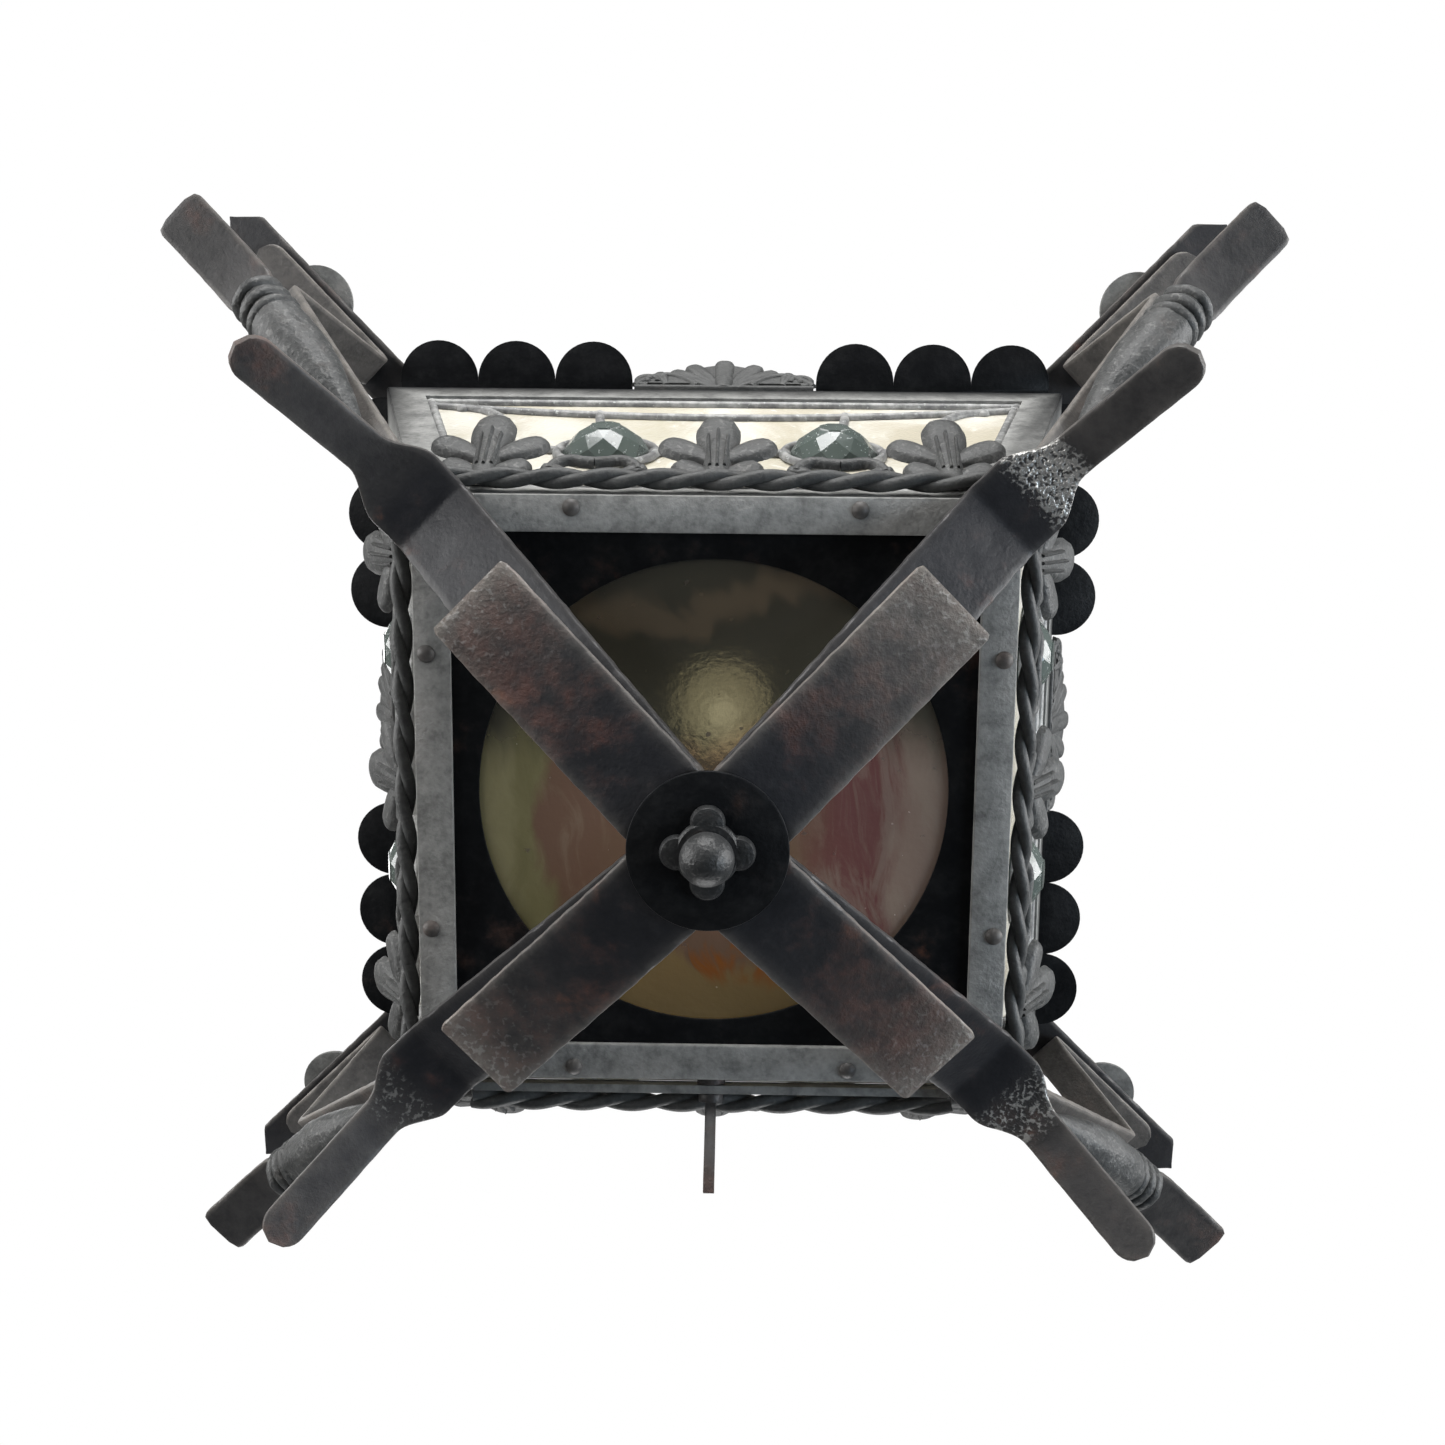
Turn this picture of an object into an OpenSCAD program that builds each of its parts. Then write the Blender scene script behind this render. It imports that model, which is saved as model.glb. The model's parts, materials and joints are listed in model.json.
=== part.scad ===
// Square wrought-iron hanging lantern with leaded glass walls, strap feet and a hinged front.
// Millimetres, +Z up. The origin is where a hook bears on the inside top of the hanging ring.
// The front, with the door, faces -Y.

/* [Body] */
// Half width of the bottom frame
frame_half = 105; // [100:1:110]
// Half width of the walls at their top edge
wall_top_half = 150.5; // [146:0.5:154]
// Height of the wall tops above the underside of the bottom frame
wall_top_z = 165; // [158:1:172]
// Width of the flat band round the bottom frame
band_w = 12; // [9:0.5:14]
// Radius of the round window in the bottom plate
window_r = 84; // [80:1:88]
// Thickness of the wall bars
bar_t = 3; // [2.5:0.5:3.5]

/* [Glass and trim] */
// Thickness of the opal wall glass
glass_t = 3; // [2:0.5:3.5]
// Radius of a faceted jewel
jewel_r = 17.5; // [15:0.5:18]
// Distance of a jewel from the middle of its wall
jewel_u = 44; // [42:1:48]
// Height of a jewel's centre along the slope of its wall
jewel_v = 68; // [66:1:74]
// Distance of an outer palmette from the middle of its wall
palmette_u = 83; // [80:1:86]
// Radius of the rope moulding
rope_r = 4; // [3:0.5:4]

/* [Straps] */
// Width of a foot strap
foot_w = 32; // [28:1:34]
// Thickness of a foot strap
foot_t = 4; // [3.5:0.5:4.5]
// Width of a corner scroll and of the leaf end of a foot strap
scroll_w = 16; // [14:1:18]
// Width of a corner arm and of a hip strap
arm_w = 22; // [20:1:24]
// Thickness of the corner scrolls, arms and hip straps
strap_t = 3.6; // [3:0.2:4]

/* [Roof] */
// Radius of one scallop of the eave
lobe_r = 17.5; // [16:0.5:18]
// Height of the eave plate
eave_z = 176; // [175:0.5:177]
// Half width of the roof at the crown
crown_half = 40; // [36:1:42]
// Height of the top of the main roof
roof_top_z = 278; // [274:1:282]

/* [Hanging] */
// Mean radius of the hanging ring
ring_r = 32; // [28:1:36]
// Radius of the ring and eye wire
wire_r = 4; // [3.5:0.5:4]

/* [Hidden] */
$fn = 64;

iron = [0.13, 0.13, 0.13];
opal = [0.88, 0.86, 0.78, 0.7];
slag = [0.55, 0.38, 0.25, 0.7];
lead = [0.40, 0.41, 0.40];
jewel_green = [0.35, 0.42, 0.40, 0.8];

// Walls: the plane of each wall leans outwards from the bottom frame to its top edge
frame_t = 3;
wall_z = frame_t;
lean = atan((wall_top_half - frame_half) / (wall_top_z - wall_z));
wall_len = norm([wall_top_half - frame_half, wall_top_z - wall_z]);
strip_w = 16;
rail_h = 12;
glass_w = -bar_t - 0.4 - glass_t;
came_t = 2.6;
came_w = 4;
ring_w = 3;

// Door: an overlay frame that stands off the wall plane and hinges at its top
door_face = 7.5;
door_side = 18;
door_v0 = 4;
door_v1 = 158;
door_rail = 14;
door_stile = 12;
hinge_v = 164;
hinge_w = 6;
hinge_u = 88;
knuckle_r = 3.6;
knuckle_len = 12;
pin_r = 1.5;
door_bore_r = 1.56;
fixed_bore_r = 1.52;
latch_v = 9;
latch_pin_r = 2.5;
latch_bore_r = 2.55;
cam_half = 5.2;

// Heights of the hub below the bottom frame and the fold of the foot straps
fold_c = [21, -75.2];
fold_r = 2.8;
foot_rise = 11.5;
foot_reach = 87;
hub_top_z = fold_c[1] - fold_r - foot_t / 2;
hub_t = 2;
rosette_t = 3.5;
ball_r = 8.3;
ball_z = hub_top_z - hub_t - rosette_t - 6;

// Crown and hanging gear
collar_half = crown_half + 3;
collar_h = 26;
cap_z = roof_top_z + collar_h;
cap_h = 46;
eye_r = 13;
eye_z = cap_z + cap_h + 28;
ring_low_z = eye_z + eye_r - 2 * wire_r - 0.3;
hang_z = ring_low_z + 2 * ring_r - wire_r;
bulb_r = 22.5;
bulb_z = 215;

// ---- placing helpers ----

// Lowers the lantern so that the hook point is the origin
module hung() translate([0, 0, -hang_z]) children();

// Wall frame of one side: x across, y up the slope, z outwards. 0 front, 1 right, 2 back, 3 left
module wall(side) {
    hung() rotate(90 * side) translate([0, -frame_half, wall_z])
        rotate([90 + lean, 0, 0]) children();
}

// Upright plane through corner i: x is the distance from the axis, y is the height
module corner(i, width) {
    hung() rotate(90 * i - 45) rotate([90, 0, 0])
        translate([0, 0, -width / 2]) linear_extrude(width) children();
}

function half_at(v) = frame_half + v * sin(lean);
function trapezoid(v0, v1, inset) = [
    [-half_at(v0) + inset, v0], [half_at(v0) - inset, v0],
    [half_at(v1) - inset, v1], [-half_at(v1) + inset, v1]
];
function arc(c, r, a0, a1, n) = [
    for (i = [0:n]) let(a = a0 + (a1 - a0) * i / n) c + r * [cos(a), sin(a)]
];
function unit(v) = v / norm(v);
function side_of(p, i) = let(
    a = unit(p[min(i + 1, len(p) - 1)] - p[max(i - 1, 0)])
) [-a[1], a[0]];

// Flat strap seen from its edge: a band of thickness t along the points p
module ribbon(p, t) {
    n = len(p);
    polygon(concat(
        [for (i = [0:n - 1]) p[i] + side_of(p, i) * t / 2],
        [for (i = [n - 1:-1:0]) p[i] - side_of(p, i) * t / 2]
    ));
}

// Flat outline with two straight sides and a round or blunt outer end, seen from above
module plan_trim(i, x0, x1, half, blunt) {
    hung() rotate(90 * i - 45) translate([0, 0, -150]) linear_extrude(600) {
        translate([x0, -half]) square([x1 - x0 - half * blunt, 2 * half]);
        if (blunt > 0) translate([x1 - half, 0]) circle(half);
    }
}

// ---- bottom ----

module bottom_frame() {
    lip_half = 60;
    lip_t = 2;
    color(iron) hung() {
        linear_extrude(frame_t) difference() {
            square(2 * (frame_half + 1), center = true);
            square(2 * (frame_half - band_w), center = true);
        }
        translate([-lip_half, -frame_half, frame_t - 0.5]) cube([2 * lip_half, lip_t, 3.7]);
    }
}

module bottom_plate() {
    plate_half = frame_half - 7;
    color(iron) hung() translate([0, 0, frame_t]) linear_extrude(1.5) difference() {
        square(2 * plate_half, center = true);
        circle(window_r);
    }
}

module bottom_glass() {
    color(slag) hung() translate([0, 0, frame_t + 1.5]) cylinder(h = 4, r = window_r + 3);
}

module frame_rivets() {
    rivet_u = 50;
    cap_r = 3.6;
    color(iron) hung() for (side = [0:3], s = [-1, 1])
        rotate(90 * side) translate([s * rivet_u, -(frame_half - 3.5), 0]) difference() {
            translate([0, 0, 1.6]) sphere(r = cap_r);
            translate([-5, -5, 0]) cube([10, 10, 10]);
        }
}

// ---- foot straps: folded back under the hub, riveted under the frame, ending in a leaf ----

foot_a_end = [138, -foot_t / 2];
foot_a_angle = atan2(foot_a_end[1] - fold_c[1], foot_a_end[0] - fold_c[0]);
foot_line = concat(
    [fold_c + fold_r * [sin(foot_rise), -cos(foot_rise)]
        + foot_reach * [cos(foot_rise), sin(foot_rise)]],
    arc(fold_c, fold_r, 270 + foot_rise, 90 + foot_a_angle, 8),
    [foot_a_end, [154, -foot_t / 2]],
    arc([154, -40 - foot_t / 2], 40, 84, 48, 5),
    [[216, -37]]
);

module foot_strap(i) {
    leaf_tip = 217;
    shoulder = 152;
    color(iron) intersection() {
        corner(i, foot_w) ribbon(foot_line, foot_t);
        union() {
            plan_trim(i, 5, shoulder, foot_w / 2, 0);
            hung() rotate(90 * i - 45) translate([0, 0, -150]) linear_extrude(300) polygon([
                [shoulder, -foot_w / 2], [shoulder + 18, -scroll_w / 2],
                [shoulder + 18, scroll_w / 2], [shoulder, foot_w / 2]
            ]);
            plan_trim(i, shoulder, leaf_tip, scroll_w / 2, 1);
        }
    }
}

// ---- hub ----

module hub_disc() {
    color(iron) hung() translate([0, 0, hub_top_z - hub_t]) difference() {
        cylinder(h = hub_t, r = 25);
        translate([0, 0, -1]) cylinder(h = hub_t + 2, r = 4.1);
    }
}

module hub_rosette() {
    lobe_x = 9.5;
    color(iron) hung() translate([0, 0, hub_top_z - hub_t - rosette_t]) difference() {
        union() {
            cylinder(h = rosette_t, r = 10);
            for (a = [0:90:270]) rotate(a) translate([lobe_x, 0, 0]) cylinder(h = rosette_t - 1, r = 5.5);
        }
        translate([0, 0, -1]) cylinder(h = rosette_t + 2, r = 4.1);
    }
}

module hub_nut() {
    color(iron) hung() translate([0, 0, hub_top_z]) difference() {
        cylinder(h = 6, r = 8, $fn = 6);
        translate([0, 0, -1]) cylinder(h = 8, r = 4.1, $fn = 64);
    }
}

module ball_finial() {
    color(iron) hung() translate([0, 0, ball_z]) {
        difference() {
            sphere(r = ball_r);
            translate([-10, -10, 6]) cube([20, 20, 10]);
        }
        cylinder(h = hub_top_z + 9 - ball_z, r = 4);
    }
}

// ---- corner scrolls, arms and hip straps ----

// Hip straps end in a straight length that the ends of the scrolls lie against
hip_tip = [322, 196.86];
hip_dip = 8.8;
function hip_at(x) = [x, hip_tip[1] - (hip_tip[0] - x) * tan(hip_dip)];

scroll_tip_c = [254, 124];
scroll_tip_r = 5;
scroll_up = 50;
scroll_back = 127;
scroll_knee_c = [229.2, 173.27];
scroll_knee_r = 5.5;
scroll_out = hip_dip;
scroll_line = concat(
    [[157.5, 1.9], [163, 9.5]],
    arc(scroll_tip_c, scroll_tip_r, scroll_up - 90, scroll_back - 90, 8),
    arc(scroll_knee_c, scroll_knee_r, scroll_back + 90, scroll_out + 90, 8),
    [hip_at(300) - (strap_t + 0.03) * [-sin(hip_dip), cos(hip_dip)]]
);

module corner_scroll(i) {
    color(iron) intersection() {
        corner(i, scroll_w) ribbon(scroll_line, strap_t);
        plan_trim(i, 100, 302, scroll_w / 2, 1);
        hung() cylinder(h = 400, r = 400);
    }
}

// An arm grows out of a pointed bud with three collar rings; a short rivet holds it to its scroll
module corner_arm(i) {
    bud_start = [179.7, 23.6];
    bud_tilt = 33;
    bud_len = 72;
    rivet = [186, 36.5];
    core_r = 9.8;
    core_end = bud_len + 15;
    arm_root = bud_start + (bud_len + 9) * [cos(bud_tilt), sin(bud_tilt)];
    arm_line = [arm_root, arm_root + 9 * [cos(28), sin(28)], [264, 76], [276, 79.4], [288, 82], [301, 84.4]];
    color(iron) {
        intersection() {
            corner(i, arm_w) ribbon(arm_line, strap_t);
            hung() rotate(90 * i - 45) translate([0, 0, -100]) linear_extrude(300) arm_plan();
        }
        hung() rotate(90 * i - 45) translate([bud_start[0], 0, bud_start[1]])
            rotate([0, 90 - bud_tilt, 0]) {
                rotate_extrude() polygon(concat(
                    [[0, 0], [0.8, 0]], bud_outline(bud_len), [[core_r, core_end], [0, core_end]]
                ));
                for (x = [bud_len - 1, bud_len + 5.5, bud_len + 12]) translate([0, 0, x])
                    rotate_extrude() translate([core_r - 0.4, 0]) circle(r = 2.6, $fn = 24);
            }
        hung() rotate(90 * i - 45) translate([rivet[0], 0, rivet[1]])
            rotate([0, 180 - scroll_up, 0]) cylinder(h = 8, r = 2);
    }
}
function bud_outline(length) = concat(
    [for (i = [1:10]) let(s = i / 10) [0.8 + 11.2 * sin(s * 118), s * length]], [[9.8, length]]
);
module arm_plan() {
    end_r = 4;
    x0 = 240;
    x1 = 301;
    translate([x0, -arm_w / 2]) square([x1 - end_r - x0, arm_w]);
    translate([x1 - 2 * end_r, -arm_w / 2 + end_r]) square([2 * end_r, arm_w - 2 * end_r]);
    for (s = [-1, 1]) translate([x1 - end_r, s * (arm_w / 2 - end_r)]) circle(end_r);
}

roof_half = 150;
roof_z = eave_z + 1.5;
hip_slope = (roof_top_z - roof_z) / ((roof_half - crown_half) * sqrt(2));
function ridge_at(x) = [x, roof_z + hip_slope * (roof_half * sqrt(2) - x)];
hip_rest = [0, (strap_t / 2 + 0.05) * sqrt(1 + hip_slope * hip_slope)];
hip_line = [hip_tip, hip_at(246), [224, 183], ridge_at(206) + hip_rest, ridge_at(62) + hip_rest];

module hip_strap(i) {
    point_x = hip_tip[0];
    color(iron) intersection() {
        corner(i, arm_w) ribbon(hip_line, strap_t);
        hung() rotate(90 * i - 45) translate([0, 0, 100]) linear_extrude(300) polygon([
            [40, -arm_w / 2], [point_x - arm_w / 2, -arm_w / 2], [point_x, 0],
            [point_x - arm_w / 2, arm_w / 2], [40, arm_w / 2]
        ]);
    }
}

module corner_discs() {
    disc_x = 267;
    color(iron) hung() for (i = [0:3]) rotate(90 * i - 45)
        translate([disc_x, 0, hip_at(disc_x)[1]]) rotate([0, -hip_dip, 0])
            translate([0, 0, strap_t / 2]) cylinder(h = 2, r = lobe_r + 0.5);
}

// ---- upper frame: four leaning angle posts, their rails, the cornice and the fixed knuckles ----

module wall_ring(side) {
    wall(side) translate([0, 0, -bar_t]) linear_extrude(bar_t) difference() {
        polygon(trapezoid(0, wall_len, 0.6));
        polygon(side == 0 ? trapezoid(-1, wall_len - 8, strip_w)
            : trapezoid(rail_h, wall_len - 16, strip_w));
    }
}

module upper_frame() {
    cornice_half = wall_top_half - 0.5;
    cornice_t = 3;
    color(iron) {
        for (side = [0:3]) wall_ring(side);
        hung() translate([0, 0, wall_top_z - 1.5]) linear_extrude(eave_z - wall_top_z + 1.5)
            difference() {
                square(2 * cornice_half, center = true);
                square(2 * (cornice_half - cornice_t), center = true);
            }
        for (s = [-1, 1], k = [-1, 1]) wall(0)
            translate([s * hinge_u + k * (knuckle_len + 0.4), hinge_v, hinge_w]) fixed_knuckle();
    }
}
module fixed_knuckle() {
    difference() {
        union() {
            rotate([0, 90, 0]) cylinder(h = knuckle_len, r = knuckle_r, center = true);
            translate([-knuckle_len / 2, -knuckle_r + 0.6, -hinge_w - 1]) cube([knuckle_len, 6, hinge_w + 1]);
        }
        rotate([0, 90, 0]) cylinder(h = knuckle_len + 2, r = fixed_bore_r, center = true);
    }
}

// ---- glass, came, jewels, rope and coronet of one wall; face is the height of its front ----

module wall_glass(side, face, v0, v1, inset) {
    color(opal) wall(side) translate([0, 0, face + glass_w]) linear_extrude(glass_t) difference() {
        polygon(trapezoid(v0, v1, inset));
        for (s = [-1, 1]) translate([s * jewel_u, jewel_v]) circle(jewel_r + 0.4);
    }
}

module bar2(p, q, w) {
    translate(p) rotate(atan2(q[1] - p[1], q[0] - p[0])) translate([0, -w / 2])
        square([norm(q - p), w]);
}

// Lead lines: the border, a swag at the top, the jewel rings and the bars that tie them
module wall_came(side, face, v0, v1, inset) {
    side_u = half_at(jewel_v) - inset - came_w / 2;
    top_u = half_at(v1 - 8) - inset - came_w / 2;
    swag = [for (i = [-8:8]) [top_u * i / 8, v1 - 26 + 18 * pow(abs(i) / 8, 2)]];
    color(lead) wall(side) translate([0, 0, face + glass_w + glass_t + 0.02]) linear_extrude(came_t)
        union() {
            difference() {
                polygon(trapezoid(v0, v1, inset));
                polygon(trapezoid(v0 + came_w, v1 - came_w, inset + came_w));
            }
            difference() {
                union() {
                    ribbon(swag, came_w);
                    bar2([-jewel_u, jewel_v], [jewel_u, jewel_v], came_w);
                    for (s = [-1, 1]) {
                        translate([s * jewel_u, jewel_v]) circle(jewel_r + ring_w);
                        bar2([s * jewel_u, jewel_v], [s * (jewel_u + 8), v1 - 22], came_w);
                        bar2([s * jewel_u, jewel_v], [s * side_u, jewel_v + 6], came_w);
                        ribbon([for (a = [0:15:90]) [
                            s * (side_u - 22 + 28 * (1 - cos(a))), jewel_v + 6 + (v1 - jewel_v - 18.5) * sin(a)
                        ]], came_w);
                    }
                }
                for (s = [-1, 1]) translate([s * jewel_u, jewel_v]) circle(jewel_r + 0.2);
            }
        }
}

module jewel() {
    cylinder(h = glass_t, r = jewel_r);
    translate([0, 0, glass_t]) cylinder(h = 6, r1 = jewel_r - 0.5, r2 = jewel_r * 0.78, $fn = 8);
    translate([0, 0, glass_t + 6]) rotate(22.5)
        cylinder(h = 5.5, r1 = jewel_r * 0.76, r2 = jewel_r * 0.36, $fn = 8);
}
module jewels(side, face) {
    color(jewel_green) wall(side) for (s = [-1, 1]) translate([s * jewel_u, jewel_v, face + glass_w]) jewel();
}

module rope(side, face, v, trim) {
    color(iron) wall(side) translate([0, v, face + rope_r]) rotate([0, 90, 0])
        cylinder(h = 2 * (half_at(v) - trim), r = rope_r, center = true, $fn = 32);
}

// Outline through a row of lobes on the right, mirrored to the left
function lobed(foot, lobes) = let(
    right = concat([foot], [for (l = lobes) each arc([l[0], l[1]], l[2], l[3], l[4], 8)])
) concat(right, [for (i = [len(right) - 1:-1:0]) if (right[i][0] > 0.01) [-right[i][0], right[i][1]]]);

// Five-lobed palmette, standing on its foot at the origin
module palmette() {
    polygon(lobed([5, -4], [[10.5, 7, 6, -150, 70], [14.5, 22, 6.8, -60, 110], [0, 32, 8.5, -10, 90]]));
}
// Low trefoil under a jewel
module trefoil() {
    polygon(lobed([17, -1.5], [[15.5, 3.6, 4.2, -70, 110], [5.5, 7, 6, 10, 120]]));
}
module coronet(side, face, v) {
    leaf_lean = 16;
    leaf_t = 2.6;
    color(iron) wall(side) {
        for (u = [-palmette_u, 0, palmette_u]) translate([u, v, face + 2])
            rotate([leaf_lean, 0, 0]) linear_extrude(leaf_t) palmette();
        for (s = [-1, 1]) translate([s * jewel_u, v + 1, face + 2])
            rotate([leaf_lean, 0, 0]) linear_extrude(leaf_t) trefoil();
    }
}

fixed_v0 = 6;
fixed_v1 = wall_len - 9;
fixed_inset = 10;
rope_v = 6;
coronet_v = 15;

// ---- door ----

door_glass_v0 = door_v0 + door_rail - 2.5;
door_glass_v1 = door_v1 - 6;
door_inset = door_side + 6;
door_rope_v = door_v0 + door_rail + 1;

module door_frame() {
    color(iron) difference() {
        union() {
            wall(0) translate([0, 0, door_face - bar_t]) linear_extrude(bar_t) difference() {
                polygon(trapezoid(door_v0, door_v1, door_side));
                polygon(trapezoid(door_v0 + door_rail, door_v1 - rail_h, door_side + door_stile));
            }
            for (s = [-1, 1]) wall(0) translate([s * hinge_u, hinge_v, hinge_w]) {
                rotate([0, 90, 0]) cylinder(h = knuckle_len, r = knuckle_r, center = true);
                translate([-knuckle_len / 2, -12, door_face - hinge_w - bar_t]) cube([knuckle_len, 12, bar_t]);
            }
        }
        for (s = [-1, 1]) wall(0) translate([s * hinge_u, hinge_v, hinge_w])
            rotate([0, 90, 0]) cylinder(h = knuckle_len + 2, r = door_bore_r, center = true);
        wall(0) translate([0, latch_v, 0]) cylinder(h = 20, r = latch_bore_r);
    }
}

module hinge_pins() {
    color(iron) for (s = [-1, 1]) wall(0) translate([s * hinge_u, hinge_v, hinge_w])
        rotate([0, 90, 0]) cylinder(h = 3 * knuckle_len + 3, r = pin_r, center = true);
}

// Turn button: a quarter turn brings its cam bar behind the lip of the bottom frame
module latch() {
    cam_reach = 8.6;
    cam_w = -5.5;
    color(iron) wall(0) translate([0, latch_v, 0]) {
        translate([0, 0, cam_w]) cylinder(h = door_face + 3 - cam_w, r = latch_pin_r);
        translate([-cam_reach, -4, cam_w]) cube([2 * cam_reach, 8, 2]);
        translate([0, 0, cam_w]) cylinder(h = door_face - bar_t - 0.3 - cam_w, r = cam_half);
        translate([0, 0, door_face + 0.3]) cylinder(h = 3, r = 4.5);
        translate([0, 0, door_face + 2]) rotate([0, 90, 0]) linear_extrude(4, center = true)
            ribbon([[0.5, 1], [-8, -5], [-20, -13], [-27, -19], [-31, -20]], 4);
    }
}

// ---- eave, roof and crown ----

module eave_plate() {
    plate_t = 1.5;
    inner_half = 140;
    ring_half = 151;
    lobe_y = 154.5;
    color(iron) hung() translate([0, 0, eave_z]) linear_extrude(plate_t) difference() {
        union() {
            square(2 * ring_half, center = true);
            for (a = [0:90:270], s = [-1, 1]) rotate(a) scale_free_lobes(s, lobe_y);
        }
        square(2 * inner_half, center = true);
    }
}
module scale_free_lobes(s, lobe_y) {
    pitch = 35;
    first = 59;
    for (k = [0:2]) translate([s * (first + pitch * k), -lobe_y]) circle(lobe_r);
    translate([s > 0 ? first - lobe_r : -first - 2 * pitch, -lobe_y]) square([2 * pitch + lobe_r, 10]);
}

// Cast leaves that stand outwards from the cornice, each on a flat foot
module eave_ornaments() {
    rise = 62;
    foot_z = 165.6;
    cornice_y = wall_top_half - 0.5;
    color(iron) for (side = [0:3]) hung() rotate(90 * side) {
        translate([-40, -cornice_y - 1.6, foot_z]) cube([80, 1.6, 6]);
        translate([0, -cornice_y, foot_z + 1.4]) rotate([180 - rise, 0, 0])
            linear_extrude(2.6) difference() {
                polygon(lobed([40, 0], [
                    [35, 8, 6, -60, 90], [23, 14, 7, 10, 110], [9, 20, 7.5, 0, 90], [0, 25, 5, 60, 90]
                ]));
                for (u = [-34, -15, 15, 34]) translate([u, 9]) circle(2.8);
            }
    }
}

module square_cone(z0, half0, z1, half1) {
    translate([0, 0, z0]) rotate(45)
        cylinder(h = z1 - z0, r1 = half0 * sqrt(2), r2 = half1 * sqrt(2), $fn = 4);
}

module roof() {
    wall = 3.4;
    run = (roof_half - crown_half) / (roof_top_z - roof_z);
    color(iron) hung() difference() {
        square_cone(roof_z, roof_half, roof_top_z, crown_half);
        square_cone(roof_z - 1, roof_half + run - wall, roof_top_z + 1, crown_half - run - wall);
    }
}

module crown_collar() {
    color(iron) hung() translate([0, 0, roof_top_z]) difference() {
        linear_extrude(collar_h) difference() {
            square(2 * collar_half, center = true);
            square(2 * (collar_half - 3), center = true);
        }
        for (a = [0, 90], x = [-20, 0, 20]) rotate(a) translate([x, 0, collar_h / 2])
            rotate([90, 0, 0]) cylinder(h = 4 * collar_half, r = 4.5, center = true);
    }
}

module crown_cap() {
    rim_half = collar_half + 9;
    color(iron) hung() {
        translate([0, 0, cap_z]) linear_extrude(3) square(2 * rim_half, center = true);
        square_cone(cap_z + 3, rim_half - 1, cap_z + cap_h, 9);
    }
}

module hanging_eye() {
    stem_z = cap_z + cap_h;
    color(iron) hung() {
        translate([0, 0, stem_z]) cylinder(h = 4, r = 9);
        translate([0, 0, stem_z]) cylinder(h = eye_z - eye_r - stem_z + 1, r = 5.5);
        translate([0, 0, eye_z]) rotate([90, 0, 0]) rotate_extrude() translate([eye_r, 0]) circle(wire_r);
    }
}

module hanging_ring() {
    color(iron) hung() translate([0, 0, ring_low_z + ring_r]) rotate([0, 90, 0])
        rotate_extrude() translate([ring_r, 0]) circle(wire_r);
}

module lamp_socket() {
    socket_z = bulb_z + bulb_r + 16;
    color("dimgray") hung() {
        translate([0, 0, socket_z]) cylinder(h = 34, r = 17);
        translate([0, 0, socket_z + 34]) cylinder(h = cap_z - socket_z - 34, r = 5);
    }
}

module lamp_bulb() {
    color([0.95, 0.92, 0.75]) hung() {
        translate([0, 0, bulb_z]) sphere(r = bulb_r);
        translate([0, 0, bulb_z + 14]) cylinder(h = bulb_r + 2, r = 12.5);
    }
}

// ---- nodes ----

bottom_frame();
bottom_plate();
bottom_glass();
frame_rivets();
upper_frame();
foot_strap(0);  // foot_strap_1
foot_strap(1);  // foot_strap_2
foot_strap(2);  // foot_strap_3
foot_strap(3);  // foot_strap_4
corner_scroll(0);  // corner_scroll_1
corner_scroll(1);  // corner_scroll_2
corner_scroll(2);  // corner_scroll_3
corner_scroll(3);  // corner_scroll_4
corner_arm(0);  // corner_arm_1
corner_arm(1);  // corner_arm_2
corner_arm(2);  // corner_arm_3
corner_arm(3);  // corner_arm_4
hip_strap(0);  // hip_strap_1
hip_strap(1);  // hip_strap_2
hip_strap(2);  // hip_strap_3
hip_strap(3);  // hip_strap_4
corner_discs();
hub_disc();
hub_rosette();
hub_nut();
ball_finial();
wall_glass(1, 0, fixed_v0, fixed_v1, fixed_inset);  // right_glass
wall_glass(2, 0, fixed_v0, fixed_v1, fixed_inset);  // back_glass
wall_glass(3, 0, fixed_v0, fixed_v1, fixed_inset);  // left_glass
wall_came(1, 0, rail_h + 0.3, wall_len - 16.3, strip_w + 0.3);  // right_came
wall_came(2, 0, rail_h + 0.3, wall_len - 16.3, strip_w + 0.3);  // back_came
wall_came(3, 0, rail_h + 0.3, wall_len - 16.3, strip_w + 0.3);  // left_came
rope(1, 0, rope_v, 3);  // right_rope
rope(2, 0, rope_v, 3);  // back_rope
rope(3, 0, rope_v, 3);  // left_rope
coronet(1, 0, coronet_v);  // right_coronet
coronet(2, 0, coronet_v);  // back_coronet
coronet(3, 0, coronet_v);  // left_coronet
union() {  // wall_jewels
    jewels(1, 0);
    jewels(2, 0);
    jewels(3, 0);
}
door_frame();
wall_glass(0, door_face, door_glass_v0, door_glass_v1, door_inset);  // door_glass
wall_came(0, door_face, door_v0 + door_rail + 0.3,  // door_came
    door_v1 - rail_h - 0.3, door_side + door_stile + 0.3);
rope(0, door_face, door_rope_v, door_side + 2);  // door_rope
coronet(0, door_face, door_rope_v + rope_r + 5);  // door_coronet
jewels(0, door_face);  // door_jewels
hinge_pins();
latch();
eave_plate();
eave_ornaments();
roof();
crown_collar();
crown_cap();
hanging_eye();
hanging_ring();
lamp_socket();
lamp_bulb();
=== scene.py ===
"""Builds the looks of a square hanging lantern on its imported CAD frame: forged straps, leaded
opal walls, cast trim, finishes and a plain studio stage."""

import json
import math

import bmesh
import bpy
from mathutils import Matrix, Vector, noise

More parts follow.
